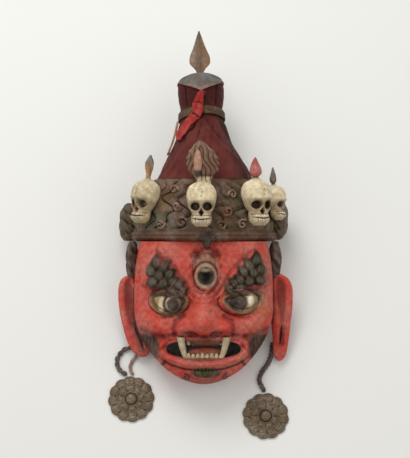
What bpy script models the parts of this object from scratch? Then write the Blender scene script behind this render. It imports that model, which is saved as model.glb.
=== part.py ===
"""A carved and painted wooden dance mask with a skull crown, a cloth hat and two ear pendants.

It lies on its back. Metres, +Z up, +Y from the chin to the hat, +X to the right of the face.
The carving is laid out in measures: sixty-three of them go from the chin to the headband.
In the head's own frame x runs across the face, y up it and z out of it.
"""

import math

import bmesh
import bpy
import numpy as np
from mathutils import Matrix, Vector

# Driving dimensions, in metres and degrees
FACE_HEIGHT = 0.290
FACE_LEAN = 20.0
HAT_RISE = 5.0
HAT_ROLL = 1.8
FACE_WALL = 0.011
CROWN_WALL = 0.016
HAT_CLOTH = 0.006
TRIM_CLOTH = 0.003
ROSETTE_THICKNESS = 0.007
TIE_DIAMETER = 0.0105
RIBBON_DIAMETER = 0.0095
WIRE_DIAMETER = 0.0032
GAP = 0.0003
OVERRUN = 0.03

# The face's plan and depth, in measures
MEASURES = 63.0
UNIT = FACE_HEIGHT / MEASURES
BAND = MEASURES
CENTRE = 34.0
HALF_WIDTH = 31.2
UPPER_REACH = 46.0
LOWER_REACH = 34.0
UPPER_SQUARE = 3.0
JAW_SQUARE = 1.82
DOME = 13.5
DOME_SQUARE = 2.8
EDGE_AT_CHIN = 6.0
EDGE_AT_TOP = -2.0
FACE_GRID = 110
FACE_SHARE = 0.115
CAVITY_GRID = 12

MOUTH = 16.4
MOUTH_HALF_WIDTH = 16.2
MOUTH_HALF_HEIGHT = 3.9
MOUTH_SQUARE = 2.8
MOUTH_SIDES = 22

# The crown and the hat, in measures
CROWN_TOP = 91.0
CROWN_CENTRE = -19.5
CROWN_SHIFT = 9.3
CROWN_SIDES = 36
CROWN_WAVE = 0.012
HAT_SIDES = 26
HAT_CENTRE = -10.2
CONE_TOP = 28.0
DRUM_TOP = 50.5
SPEAR_NECK = 52.0
SPEAR_TIP = 74.5

ROSETTE_RADIUS = 10.4
ROSETTE_LOBES = 12

LEAN = math.radians(FACE_LEAN)
GAP_M = GAP / UNIT

# Materials: colour, roughness, metallic
LOOKS = {
    "red_paint": ((0.50, 0.075, 0.055), 0.45, 0.0),
    "dark_paint": ((0.075, 0.060, 0.040), 0.60, 0.0),
    "bone_paint": ((0.52, 0.45, 0.29), 0.50, 0.0),
    "gilt_brown": ((0.22, 0.16, 0.08), 0.50, 0.1),
    "maroon_silk": ((0.16, 0.022, 0.028), 0.60, 0.0),
    "velvet": ((0.13, 0.012, 0.012), 0.85, 0.0),
    "grey_cloth": ((0.16, 0.19, 0.19), 0.75, 0.0),
    "green_cloth": ((0.17, 0.17, 0.12), 0.75, 0.0),
    "red_cloth": ((0.45, 0.02, 0.03), 0.70, 0.0),
    "beige_cloth": ((0.42, 0.29, 0.19), 0.80, 0.0),
    "dark_iron": ((0.13, 0.12, 0.11), 0.45, 0.8),
    "old_brass": ((0.20, 0.16, 0.10), 0.50, 0.9),
    "dark_cord": ((0.05, 0.04, 0.04), 0.85, 0.0),
    "pale_cord": ((0.30, 0.20, 0.18), 0.80, 0.0),
}


def material(name):
    """The Principled material of this name, made once."""
    if name in bpy.data.materials:
        return bpy.data.materials[name]
    colour, rough, metal = LOOKS[name]
    made = bpy.data.materials.new(name)
    made.use_nodes = True
    shader = made.node_tree.nodes["Principled BSDF"]
    shader.inputs["Base Color"].default_value = (*colour, 1.0)
    shader.inputs["Roughness"].default_value = rough
    shader.inputs["Metallic"].default_value = metal
    made.diffuse_color = (*colour, 1.0)
    return made


def add(name, points, faces, look, parent=None, sharp=50.0):
    """A mesh object from points in measures of the parent's frame."""
    mesh = bpy.data.meshes.new(name)
    mesh.from_pydata([tuple(float(c) * UNIT for c in p) for p in points], [], faces)
    tidy = bmesh.new()
    tidy.from_mesh(mesh)
    bmesh.ops.recalc_face_normals(tidy, faces=tidy.faces[:])
    if tidy.calc_volume(signed=True) < 0:
        bmesh.ops.reverse_faces(tidy, faces=tidy.faces[:])
    tidy.to_mesh(mesh)
    tidy.free()
    mesh.shade_smooth()
    mesh.set_sharp_from_angle(angle=math.radians(sharp))
    obj = bpy.data.objects.new(name, mesh)
    bpy.context.scene.collection.objects.link(obj)
    obj.data.materials.append(material(look))
    obj.parent = parent
    return obj


def helper(obj):
    """Marks a cutter or a shape to be joined, which isn't a piece of its own."""
    obj.hide_render = True
    obj.display_type = "WIRE"
    return obj


def boolean(obj, other, operation="DIFFERENCE"):
    step = obj.modifiers.new(other.name, "BOOLEAN")
    step.operation = operation
    step.solver = "EXACT"
    step.object = helper(other)


def loft(rings):
    """Points and faces of a closed skin through rings of as many points each."""
    count = len(rings[0])
    points = [tuple(p) for ring in rings for p in ring]
    faces = [tuple(range(count))]
    for row in range(len(rings) - 1):
        for i in range(count):
            a = row * count + i
            b = row * count + (i + 1) % count
            faces += [(a, b, b + count), (a, b + count, a + count)]
    faces.append(tuple(range(len(points) - count, len(points))))
    return points, faces


def ring(y, half_x, half_z, sides, centre_z=0.0, centre_x=0.0, wave=0.0, lobes=0, turn=0.0):
    """An oval ring of points at height y, its radius waved a little by the lobes."""
    made = []
    for i in range(sides):
        a = 2 * math.pi * i / sides + turn
        swell = 1.0 + wave * abs(math.cos(lobes * a / 2)) if lobes else 1.0
        made.append((centre_x + half_x * swell * math.sin(a), y, centre_z + half_z * swell * math.cos(a)))
    return made


def box(name, low, high, parent=None):
    """A box between two corners in measures."""
    (x0, y0, z0), (x1, y1, z1) = low, high
    points = [(x, y, z) for z in (z0, z1) for y in (y0, y1) for x in (x0, x1)]
    faces = [(0, 2, 3, 1), (4, 5, 7, 6), (0, 1, 5, 4), (2, 6, 7, 3), (0, 4, 6, 2), (1, 3, 7, 5)]
    return helper(add(name, points, faces, "dark_paint", parent))


def ball(name, centre, radii, parent, look="dark_paint", sides=12, rows=7):
    """An oval ball, its poles along y."""
    rings = []
    for row in range(1, rows):
        a = math.pi * row / rows - math.pi / 2
        y = centre[1] + radii[1] * math.sin(a)
        rings.append(ring(y, radii[0] * math.cos(a), radii[2] * math.cos(a), sides, centre[2], centre[0]))
    count = len(rings[0])
    points = [p for r in rings for p in r]
    low, high = len(points), len(points) + 1
    points += [(centre[0], centre[1] - radii[1], centre[2]), (centre[0], centre[1] + radii[1], centre[2])]
    faces = loft(rings)[1][1:-1]
    last = (len(rings) - 1) * count
    for i in range(count):
        faces.append(((i + 1) % count, i, low))
        faces.append((last + i, last + (i + 1) % count, high))
    return add(name, points, faces, look, parent)


def plate(name, outline, low, high, look, parent, lean=0.0):
    """A closed outline in x and y, made solid between two depths; lean moves it back as x grows."""
    near = [(x, y, high - lean * abs(x)) for x, y in outline]
    far = [(x, y, low - lean * abs(x)) for x, y in outline]
    return add(name, *loft([far, near]), look, parent)


def smooth_step(x):
    x = np.clip(x, 0.0, 1.0)
    return x * x * (3 - 2 * x)


def hill(x, y, at_x, at_y, wide, tall):
    return np.exp(-(((x - at_x) / wide) ** 2) - ((y - at_y) / tall) ** 2)


def cap(x, y, at_x, at_y, wide, tall):
    """The height of a ball's cap over its oval foot."""
    return np.sqrt(np.clip(1 - ((x - at_x) / wide) ** 2 - ((y - at_y) / tall) ** 2, 0, 1))


def stroke(x, y, path, half):
    """A rounded ridge, one high, along a path of points."""
    nearest = np.full(np.shape(x), 1e9)
    for (ax, ay), (bx, by) in zip(path[:-1], path[1:]):
        length = (bx - ax) ** 2 + (by - ay) ** 2
        t = np.clip(((x - ax) * (bx - ax) + (y - ay) * (by - ay)) / length, 0, 1)
        nearest = np.minimum(nearest, np.hypot(x - ax - t * (bx - ax), y - ay - t * (by - ay)))
    return smooth_step(1 - nearest / half)


def inside(x, y, corners, soft):
    """One inside a convex outline given clockwise, falling to nought over its border."""
    depth = np.full(np.shape(x), 1e9)
    for (ax, ay), (bx, by) in zip(corners, corners[1:] + corners[:1]):
        length = math.hypot(bx - ax, by - ay)
        depth = np.minimum(depth, ((x - ax) * (by - ay) - (y - ay) * (bx - ax)) / length)
    return smooth_step(depth / soft + 0.5)


def carving(x, y):
    """How far the carving stands out of the face's plain dome, in measures."""
    side = np.abs(x)
    made = 3.6 * hill(x, y, 0, 13.5, 17.5, 10) + 1.8 * hill(x, y, 0, 4, 10, 5)
    made += 4.0 * hill(side, y, 21.8, 27.5, 8.0, 6.5) * smooth_step((y - 19.8) / 2.2)
    made -= 2.4 * hill(side, y, 26.0, 16.0, 4.8, 5.0)
    made += 2.2 * smooth_step((20.8 + 0.1 * (y - 14) - side) / 2.6) * smooth_step((22.0 - y) / 3.0)
    below_nose = smooth_step((y - 21.4) / 1.6)
    made += below_nose * 3.8 * hill(x, y, 0, 36, 4.6, 8)
    made += below_nose * 8.8 * hill(x, y, 0, 27.8, 6.6, 6.2)
    made += below_nose * 4.8 * hill(side, y, 9.8, 25.4, 3.8, 3.7)
    made -= 2.6 * hill(side, y, 15.5, 37, 11.5, 6.5)
    made += 5.4 * cap(side, y, 15.3, 36.8, 8.8, 5.6)
    made += 1.0 * cap(side, y, 13.4, 36.4, 4.6, 4.4)
    brow = [(6.2, 38.8), (12.4, 50.0), (21.6, 58.4), (27.2, 52.0), (27.4, 44.0)]
    made += 2.6 * inside(side, y, brow, 2.2)
    made += 1.3 * stroke(x, y, [(0, 39.4), (-5.6, 43), (-6.4, 49), (-4.2, 54)], 1.9)
    made += 1.3 * stroke(x, y, [(0, 39.4), (5.6, 43), (6.4, 49), (4.2, 54)], 1.9)
    made += 3.6 * cap(x, y, 0, 47.6, 5.0, 6.1)
    made += 1.8 * stroke(side, y, [(0.0, 57.4), (3.2, 58.8), (6.4, 56.8)], 2.0)
    made += 1.7 * stroke(side, y, [(0, 21.4), (9, 21.8), (16, 21.2), (19.6, 17.0)], 1.8)
    made += 2.6 * stroke(side, y, [(0, 10.0), (9, 10.4), (16, 12.6), (19.6, 16.4)], 2.7)
    made += 1.2 * hill(x, y, 0, 5.8, 6, 2.2)
    made += 0.9 * stroke(side, y, [(29.5, 46), (29.0, 55), (27.5, 62)], 1.4)
    return made


def plan_radius(angle, inset):
    """How far the face's outline is from its centre, in this direction."""
    across = np.abs(np.cos(angle)) / (HALF_WIDTH - inset)
    upper = np.sin(angle) > 0
    reach = np.where(upper, UPPER_REACH, LOWER_REACH) - inset
    square = np.where(upper, UPPER_SQUARE, JAW_SQUARE)
    return (across**square + (np.abs(np.sin(angle)) / reach) ** square) ** (-1 / square)


def edge_depth(y):
    return EDGE_AT_CHIN + (EDGE_AT_TOP - EDGE_AT_CHIN) * y / (CENTRE + UPPER_REACH)


def shell_surface(u, v, inset, carved):
    """A point of the face over the square (u, v), both from -1 to 1."""
    across = u * np.sqrt(1 - v * v / 2)
    up = v * np.sqrt(1 - u * u / 2)
    share = np.clip(np.hypot(across, up), 0, 1)
    angle = np.arctan2(up, across)
    share = 0.5 * share + 0.5 * np.sin(share * math.pi / 2)
    radius = plan_radius(angle, inset) * share
    x = radius * np.cos(angle)
    y = CENTRE + radius * np.sin(angle)
    rise = (1 - np.clip(share, 0, 1) ** DOME_SQUARE) ** (1 / DOME_SQUARE)
    z = edge_depth(y) + (DOME - inset) * rise
    if carved:
        z = z + carving(x, y) * smooth_step(rise * 3.0)
    return x, y, z


def face_depth(x, y):
    """The depth of the carved surface at a point of the plan."""
    angle = math.atan2(y - CENTRE, x)
    share = math.hypot(x, y - CENTRE) / float(plan_radius(angle, 0.0))
    rise = (1 - min(share, 1.0) ** DOME_SQUARE) ** (1 / DOME_SQUARE)
    return edge_depth(y) + DOME * rise + float(carving(np.float64(x), np.float64(y)))


def shell(name, cells, inset, carved, below, look, parent):
    """The face's dome and its side wall down to the ground, or this far below it."""
    steps = np.linspace(-1, 1, cells + 1)
    u, v = np.meshgrid(steps, steps)
    x, y, z = shell_surface(u, v, inset, carved)
    points = [tuple(p) for p in np.stack([x, y, z], -1).reshape(-1, 3)]
    row = cells + 1
    faces = []
    for j in range(cells):
        for i in range(cells):
            a = j * row + i
            if (i < cells / 2) == (j < cells / 2):
                faces += [(a, a + 1, a + row), (a + 1, a + row + 1, a + row)]
            else:
                faces += [(a, a + 1, a + row + 1), (a, a + row + 1, a + row)]
    border = [i for i in range(cells)]
    border += [j * row + cells for j in range(cells)]
    border += [cells * row + i for i in range(cells, 0, -1)]
    border += [j * row for j in range(cells, 0, -1)]
    above = border
    for part in (0.5, 1.0):
        first = len(points)
        for i in border:
            px, py, pz = points[i]
            ground = -py * math.tan(LEAN) - below
            points.append((px, py, pz + (ground - pz) * part))
        under = list(range(first, len(points)))
        for k in range(len(border)):
            n = (k + 1) % len(border)
            faces.append((above[k], under[k], under[n], above[n]))
        above = under
    faces.append(tuple(above))
    return add(name, points, faces, look, parent)


def ribbon_outline(path, halves):
    """The outline of a band of changing width along a path."""
    left, right = [], []
    for i, ((x, y), half) in enumerate(zip(path, halves)):
        before = path[max(i - 1, 0)]
        after = path[min(i + 1, len(path) - 1)]
        dx, dy = after[0] - before[0], after[1] - before[1]
        length = math.hypot(dx, dy)
        left.append((x - dy / length * half, y + dx / length * half))
        right.append((x + dy / length * half, y - dx / length * half))
    return left + right[::-1]


def curve_points(route, count):
    """Points evenly along a smooth curve through the route's own points."""
    ends = [2 * Vector(route[0]) - Vector(route[1])] + [Vector(p) for p in route]
    ends.append(2 * Vector(route[-1]) - Vector(route[-2]))
    dense = []
    for k in range(len(route) - 1):
        a, b, c, d = ends[k : k + 4]
        for i in range(20):
            t = i / 20
            dense.append(
                0.5 * (2 * b + (c - a) * t + (2 * a - 5 * b + 4 * c - d) * t**2 + (3 * b - a - 3 * c + d) * t**3)
            )
    dense.append(Vector(route[-1]))
    walked = [0.0]
    for p, q in zip(dense[:-1], dense[1:]):
        walked.append(walked[-1] + (q - p).length)
    made = []
    k = 0
    for i in range(count):
        goal = walked[-1] * i / (count - 1)
        while k < len(walked) - 2 and walked[k + 1] < goal:
            k += 1
        t = (goal - walked[k]) / (walked[k + 1] - walked[k])
        made.append(dense[k].lerp(dense[k + 1], min(max(t, 0.0), 1.0)))
    return made


def cord(name, route, diameter, look, count):
    """A round cord along a route in world metres."""
    curve = bpy.data.curves.new(name, "CURVE")
    curve.dimensions = "3D"
    curve.bevel_depth = diameter / 2
    curve.bevel_resolution = 2
    curve.use_fill_caps = True
    spline = curve.splines.new("POLY")
    placed = curve_points(route, count)
    spline.points.add(len(placed) - 1)
    for point, at in zip(spline.points, placed):
        point.co = (*at, 1.0)
    obj = bpy.data.objects.new(name, curve)
    bpy.context.scene.collection.objects.link(obj)
    obj.data.materials.append(material(look))
    return obj


# Start with an empty scene
for old in list(bpy.data.objects):
    bpy.data.objects.remove(old, do_unlink=True)

# The ears: the path and half width of each, from its top to its lobe
EARS = {
    "left": ([(-33.6, 46.5), (-35.2, 42.5), (-35.0, 35.5), (-33.2, 27.5), (-29.6, 19.0), (-26.2, 11.0)],
             [1.2, 3.2, 3.4, 4.0, 5.0, 3.0]),
    "right": ([(33.8, 47.4), (36.6, 43.0), (36.9, 35.5), (36.2, 26.5), (35.2, 17.5), (34.0, 9.0)],
              [1.2, 3.2, 3.4, 3.3, 3.1, 2.4]),
}

# Where things lie: the hat's foot, the two pendants and the middle of the whole
HAT_LEAN = math.radians(HAT_RISE)
HAT_FOOT_Y = (CROWN_TOP * math.cos(LEAN) - HAT_CENTRE * math.sin(LEAN)) * UNIT
HAT_FOOT_Z = (CROWN_TOP * math.sin(LEAN) + HAT_CENTRE * math.cos(LEAN)) * UNIT
TIP_Y = HAT_FOOT_Y + SPEAR_TIP * UNIT * math.cos(HAT_LEAN) * math.cos(math.radians(HAT_ROLL))
LEFT_ROSETTE = (-32.4, -8.4)
RIGHT_ROSETTE = (27.6, -16.0)
LOW_Y = (RIGHT_ROSETTE[1] - ROSETTE_RADIUS) * UNIT
MIDDLE_Y = (TIP_Y + LOW_Y) / 2
RIGHT_X = max(x + half for (x, _), half in zip(*EARS["right"]))
MIDDLE_X = (RIGHT_X + LEFT_ROSETTE[0] - ROSETTE_RADIUS) / 2 * UNIT

head = bpy.data.objects.new("head_frame", None)
head.rotation_euler = (LEAN, 0, 0)
head.location = (-MIDDLE_X, -MIDDLE_Y, 0)
bpy.context.scene.collection.objects.link(head)

hat = bpy.data.objects.new("hat_frame", None)
hat.rotation_euler = (HAT_LEAN, 0, math.radians(HAT_ROLL))
hat.location = (-MIDDLE_X, HAT_FOOT_Y - MIDDLE_Y, HAT_FOOT_Z)
bpy.context.scene.collection.objects.link(hat)

ground_cut = box("ground_cut", (-80, -80, -60), (80, 240, 0))
ground_cut.location = (0, -MIDDLE_Y, 0)


def on_ground(x, y, z):
    """World metres of a point given in measures from the chin, along the ground."""
    return (x * UNIT - MIDDLE_X, y * UNIT - MIDDLE_Y, z * UNIT)


# The face: a hollow shell with its carving, open behind, at the top and at the mouth
wall = FACE_WALL / UNIT
overrun = OVERRUN / UNIT
face = shell("face", FACE_GRID, 0.0, True, 2.0, "red_paint", head)
thin_out = face.modifiers.new("fewer_facets", "DECIMATE")
thin_out.ratio = FACE_SHARE
cavity = shell("face_cavity", CAVITY_GRID, wall, False, overrun, "dark_paint", head)

# Ears with long slotted lobes, and the locks over them
EAR_DEPTH = 2.4
EAR_BACK = -1.8
for which, (path, halves) in EARS.items():
    sign = -1 if which == "left" else 1
    low = EAR_BACK
    ear = plate(f"ear_{which}", ribbon_outline(path, halves), low, low + EAR_DEPTH, "red_paint", head)
    slot_path = [(0.5 * (a[0] + b[0]), 0.5 * (a[1] + b[1])) for a, b in zip(path[2:-1], path[3:])]
    slot = plate(f"slot_{which}", ribbon_outline(slot_path, [0.6, 1.2, 0.9]), low - 4, low + 8, "dark_paint", head)
    boolean(ear, slot)
    root = ball(f"ear_root_{which}", (sign * 31.6, 37, low - 0.4), (4.2, 8, 2.2), head)
    boolean(face, ear, "UNION")
    boolean(face, root, "UNION")
    locks = ball(f"locks_{which}", (sign * 32.3, 54, -3.5), (2.9, 10, 5.5), head, sides=10)
    boolean(face, locks, "UNION")
boolean(face, cavity)

mouth_outline = []
for i in range(MOUTH_SIDES):
    a = 2 * math.pi * i / MOUTH_SIDES
    radius = (abs(math.cos(a) / MOUTH_HALF_WIDTH) ** MOUTH_SQUARE
              + abs(math.sin(a) / MOUTH_HALF_HEIGHT) ** MOUTH_SQUARE) ** (-1 / MOUTH_SQUARE)
    mouth_outline.append((radius * math.cos(a), MOUTH + radius * math.sin(a)))
mouth = plate("mouth_cut", mouth_outline, -6, 40, "dark_paint", head)
boolean(face, mouth)

# Fangs, a scalloped row of lower teeth and the tongue
TOOTH_COUNT = 8
TOOTH_ROW = (-7.6, 8.6)
lip = face_depth(0, MOUTH - MOUTH_HALF_HEIGHT)
for which, sign in (("left", -1), ("right", 1)):
    rings = []
    for part in (0.0, 0.4, 0.75, 1.0):
        y = 21.6 + part * (11.6 - 21.6)
        half = 1.7 - 0.6 * part
        rings.append(ring(y, half, half, 8, face_depth(0, 19) - 2.4, sign * (9.9 - 2.4 * part)))
    boolean(face, add(f"fang_{which}", *loft(rings), "bone_paint", head), "UNION")
teeth = [(TOOTH_ROW[0], MOUTH - MOUTH_HALF_HEIGHT - 1.6)]
for i in range(TOOTH_COUNT):
    width = (TOOTH_ROW[1] - TOOTH_ROW[0]) / TOOTH_COUNT
    for share, up in ((0.0, 0.6), (0.2, 2.0), (0.8, 2.0)):
        teeth.append((TOOTH_ROW[0] + (i + share) * width, MOUTH - MOUTH_HALF_HEIGHT + up))
teeth += [(TOOTH_ROW[1], MOUTH - MOUTH_HALF_HEIGHT + 0.6), (TOOTH_ROW[1], MOUTH - MOUTH_HALF_HEIGHT - 1.6)]
boolean(face, plate("teeth", teeth, lip - 3.6, lip - 1.8, "bone_paint", head), "UNION")
tongue = ball("tongue", (1.0, 12.6, lip - 5.0), (5.4, 3.2, 5.0), head, "red_paint", sides=10, rows=6)
boolean(face, tongue, "UNION")

# The crown stands on the face's top edge, so the face stops under it
boolean(face, box("face_top_cut", (-60, BAND - GAP_M, -80), (60, 140, 80), head))
boolean(face, ground_cut)

# The crown: a carved cap that closes round the forehead, open behind and below
crown_shape = [(BAND, 33.0), (BAND + 1.4, 34.2), (BAND + 3.4, 34.2), (BAND + 4.6, 33.0),
               (71.0, 33.2), (77.0, 31.4), (83.0, 28.0), (88.0, 24.6), (CROWN_TOP, 22.6)]


def crown_middle(y):
    return CROWN_CENTRE + CROWN_SHIFT * (y - BAND) / (CROWN_TOP - BAND)


def crown_radius(y):
    heights, radii = zip(*crown_shape)
    return float(np.interp(y, heights, radii))


crown = add("crown", *loft([ring(y, r, r, CROWN_SIDES, crown_middle(y), wave=CROWN_WAVE, lobes=CROWN_SIDES // 2)
                            for y, r in crown_shape]), "dark_paint", head)
crown_wall = CROWN_WALL / UNIT
inner = [(BAND - 4, 26.5), (BAND, 26.5), (72.0, 33.2 - crown_wall - 1.6), (83.0, 28.0 - crown_wall),
         (CROWN_TOP, 22.6 - crown_wall), (CROWN_TOP + 4, 22.6 - crown_wall)]
crown_cavity = add("crown_cavity", *loft([ring(y, r, r, 20, crown_middle(y)) for y, r in inner]),
                   "dark_paint", head)
curl_clear = []
for which, sign, up in (("left", -1, 71.0), ("right", 1, 73.0)):
    at, radii = (sign * 34.6, up, -15.0), (4.6, 9.6, 6.0)
    boolean(crown, ball(f"curl_{which}", at, radii, head, sides=10, rows=7), "UNION")
    curl_clear.append(helper(ball(f"curl_clear_{which}", at, [r + 3 * GAP_M for r in radii], head, sides=10, rows=7)))
stub = ball("stub", (-29.6, 79.0, -9.0), (3.2, 3.6, 3.2), head, sides=8, rows=5)
boolean(crown, stub, "UNION")
pendant = ball("band_ornament", (0.6, BAND + 1.0, crown_middle(BAND) + 33.6), (2.9, 3.9, 1.8), head, sides=10)
boolean(crown, pendant, "UNION")
boolean(crown, crown_cavity)
boolean(crown, box("crown_foot_cut", (-60, -40, -80), (60, BAND, 80), head))
boolean(crown, ground_cut)

# Each skull is lofted from its jaw to the tip of its bud; it leans on the crown
skull_shape = [
    (0.0, 2.6, 2.2, 1.6), (1.6, 4.3, 3.8, 1.6), (4.4, 4.6, 4.2, 1.2), (6.0, 4.4, 4.0, 0.8),
    (8.2, 5.7, 5.0, 0.6), (11.0, 6.4, 6.0, 0.0), (14.2, 6.9, 6.9, -0.4), (17.2, 6.2, 6.2, -0.6),
    (19.4, 4.4, 4.4, -0.8), (20.4, 2.4, 2.4, -0.8),
]
BUDS = {
    "ball": [(21.4, 1.3), (22.6, 2.4), (24.6, 2.5), (26.6, 1.9), (28.4, 1.2), (30.2, 0.3)],
    "bulb": [(21.6, 1.1), (24.0, 1.3), (26.4, 1.9), (28.2, 2.0), (30.4, 1.3), (32.4, 0.3)],
    "leaf": [(21.2, 1.0), (22.4, 1.8), (24.4, 1.9), (26.6, 1.5), (28.8, 1.0), (31.0, 0.25)],
    "none": [(21.0, 1.4)],
}
# name: angle round the crown, foot height, size, roll, turn of the face, kind of bud
SKULLS = {
    "skull_centre": (-1.5, 69.5, 0.95, 0.0, 0.0, "none"),
    "skull_left": (-52.0, 71.0, 0.95, 6.0, 10.0, "bulb"),
    "skull_right": (42.5, 70.0, 1.0, -1.0, -14.0, "ball"),
    "skull_far_right": (76.0, 72.5, 0.78, -2.0, -12.0, "leaf"),
}
SKULL_SIDES = 10
STAND_OFF = 3.4
skull_clear = add("skull_clearance", *loft([ring(y, r + 1.5 * GAP_M, r + 1.5 * GAP_M, CROWN_SIDES, crown_middle(y),
                                                 wave=CROWN_WAVE, lobes=CROWN_SIDES // 2)
                                            for y, r in crown_shape]), "dark_paint", head)
helper(skull_clear)
for name, (round_angle, foot, size, roll, turned, bud) in SKULLS.items():
    a = math.radians(round_angle)
    rings = [ring(y * size, rx * size, rz * size, SKULL_SIDES, cz * size) for y, rx, rz, cz in skull_shape]
    rings += [ring(y * size, r * size, r * size, SKULL_SIDES, -0.8 * size) for y, r in BUDS[bud]]
    skull = add(name, *loft(rings), "bone_paint", head)
    stand = crown_radius(foot + 6 * size) + STAND_OFF * size
    at = (stand * math.sin(a), foot, crown_middle(foot + 6 * size) + stand * math.cos(a))
    skull.location = [c * UNIT for c in at]
    skull.rotation_euler = (0, a + math.radians(turned), math.radians(-roll))
    for sign in (-1, 1):
        eye = ball(f"{name}_eye_{sign + 1}", (sign * 2.7 * size, 10.0 * size, 5.6 * size),
                   (1.9 * size, 1.9 * size, 2.6 * size), skull, sides=6, rows=4)
        boolean(skull, eye)
    nose = ball(f"{name}_nose", (0, 6.9 * size, 5.2 * size), (1.0 * size, 1.5 * size, 1.6 * size), skull,
                sides=6, rows=4)
    boolean(skull, nose)
    for other in (skull_clear, *curl_clear):
        boolean(skull, other)
    boolean(skull, ground_cut)

# The flaming jewel carved in one with the middle skull, over it
flame_half = [(0.0, 3.0), (3.0, 3.6), (6.0, 6.6), (9.0, 7.6), (12.5, 7.2), (15.4, 5.4), (17.6, 3.0), (19.4, 0.9)]
FLAME_FOOT = 87.5
flame_rings = [ring(FLAME_FOOT + y, half, 1.2 + 0.2 * half, 14, 0.0) for y, half in flame_half]
flame = add("centre_flame", *loft(flame_rings), "gilt_brown", head)
flame.location = (-0.6 * UNIT, 0, (crown_middle(CROWN_TOP) + 28.2) * UNIT)
drop = ball("flame_drop", (-3.0, FLAME_FOOT + 9.5, 2.6), (1.9, 6.4, 1.8), flame, sides=8, rows=6)
boolean(flame, drop, "UNION")
boolean(bpy.data.objects["skull_centre"], flame, "UNION")

# The hat's cone: a hollow of stiffened cloth that stands on the crown
cone_shape = [(-14.0, 25.5), (0.0, 20.9), (5.0, 18.7), (10.0, 16.2), (16.0, 13.3), (22.0, 11.3), (CONE_TOP, 10.0)]
cloth = HAT_CLOTH / UNIT


def cone_radius(y):
    heights, radii = zip(*cone_shape)
    return float(np.interp(y, heights, radii))


cone = add("hat_cone", *loft([ring(y, r, r, HAT_SIDES, wave=0.03, lobes=10) for y, r in cone_shape]),
           "maroon_silk", hat)
cone_inner = [(-16.0, 26.2 - cloth), (0.0, 20.9 - cloth), (10.0, 16.2 - cloth), (CONE_TOP - cloth, 10.2 - cloth)]
boolean(cone, add("cone_cavity", *loft([ring(y, r, r, 16) for y, r in cone_inner]), "dark_paint", hat))
boolean(cone, box("cone_foot_cut", (-60, -40, -80), (60, CROWN_TOP + GAP_M, 80), head))
boolean(cone, ground_cut)

# The stuffed drum on the cone
drum_shape = [(CONE_TOP + GAP_M, 9.6), (32.0, 9.7), (34.0, 9.4), (38.0, 10.0), (43.0, 10.4), (47.0, 9.6),
              (49.6, 7.0), (DRUM_TOP, 3.4)]


def drum_radius(y):
    heights, radii = zip(*drum_shape)
    return float(np.interp(y, heights, radii))


def drum_swell(angle):
    return 1.0 + 0.05 * abs(math.cos(2 * angle))


drum = add("hat_drum", *loft([ring(y, r, r, 24, wave=0.05, lobes=4) for y, r in drum_shape]), "velvet", hat)

# The cap over the drum, with its point at the front
trim = TRIM_CLOTH / UNIT
CAP_SIDES = 24
CAP_HEM = 46.2
CAP_POINT = 6.2
cap_rows = []
for share in (0.0, 0.3, 0.6, 0.85, 1.0):
    row = []
    for i in range(CAP_SIDES):
        a = 2 * math.pi * i / CAP_SIDES
        low = CAP_HEM - CAP_POINT * max(0.0, 1 - min(a, 2 * math.pi - a) / 0.8)
        y = low + (49.7 - low) * share
        r = (drum_radius(y) + GAP_M + trim) * drum_swell(a)
        row.append((r * math.sin(a), y, r * math.cos(a)))
    cap_rows.append(row)
cap_top = DRUM_TOP + GAP_M + trim
cap_rows.append(ring(cap_top, 3.6, 3.6, CAP_SIDES))
cap_piece = add("hat_cap", *loft(cap_rows), "grey_cloth", hat)
drum_clear = [(y, r + 1.5 * GAP_M) for y, r in drum_shape[:-1]] + [(DRUM_TOP + GAP_M, drum_shape[-1][1])]
boolean(cap_piece, add("cap_hollow", *loft([ring(y, r, r, 24, wave=0.05, lobes=4) for y, r in drum_clear]),
                       "dark_paint", hat))

# The ribbon tied round the foot of the drum
RIBBON_LOW, RIBBON_HIGH = 28.6, 32.4
band_in = 9.75 * 1.05 + 2 * GAP_M
ribbon = add("hat_ribbon", *loft([ring(y, band_in + t, band_in + t, 24)
                                  for y, t in ((RIBBON_LOW, trim * 0.6), (RIBBON_LOW + 1.2, trim),
                                               (RIBBON_HIGH - 1.2, trim), (RIBBON_HIGH, trim * 0.6))]),
             "green_cloth", hat)
boolean(ribbon, add("ribbon_hole", *loft([ring(y, band_in, band_in, 24) for y in (20, 40)]), "dark_paint", hat))


def on_hat(angle, y, off):
    """A point on the hat at this angle round it, this far off its cloth."""
    a = math.radians(angle)
    r = cone_radius(y) * 1.03 if y < CONE_TOP else drum_radius(y) * drum_swell(a)
    if RIBBON_LOW - 0.8 < y < RIBBON_HIGH + 0.8:
        r = max(r, band_in + trim)
    return ((r + off) * math.sin(a), y, (r + off) * math.cos(a)), a


def strip(name, route, halves, thick, off, look):
    """A flat strip that lies on the hat along a route of angles and heights."""
    rings = []
    for i, ((angle, y), half) in enumerate(zip(route, halves)):
        (px, py, pz), a = on_hat(angle, y, off + thick)
        before, after = route[max(i - 1, 0)], route[min(i + 1, len(route) - 1)]
        p = Vector(on_hat(*before, off)[0])
        q = Vector(on_hat(*after, off)[0])
        out = Vector((math.sin(a), 0, math.cos(a)))
        side = (q - p).normalized().cross(out).normalized()
        row = []
        for k in range(8):
            b = 2 * math.pi * k / 8
            row.append(Vector((px, py, pz)) + side * half * math.cos(b) + out * thick * math.sin(b))
        rings.append(row)
    return add(name, *loft(rings), look, hat)


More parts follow.
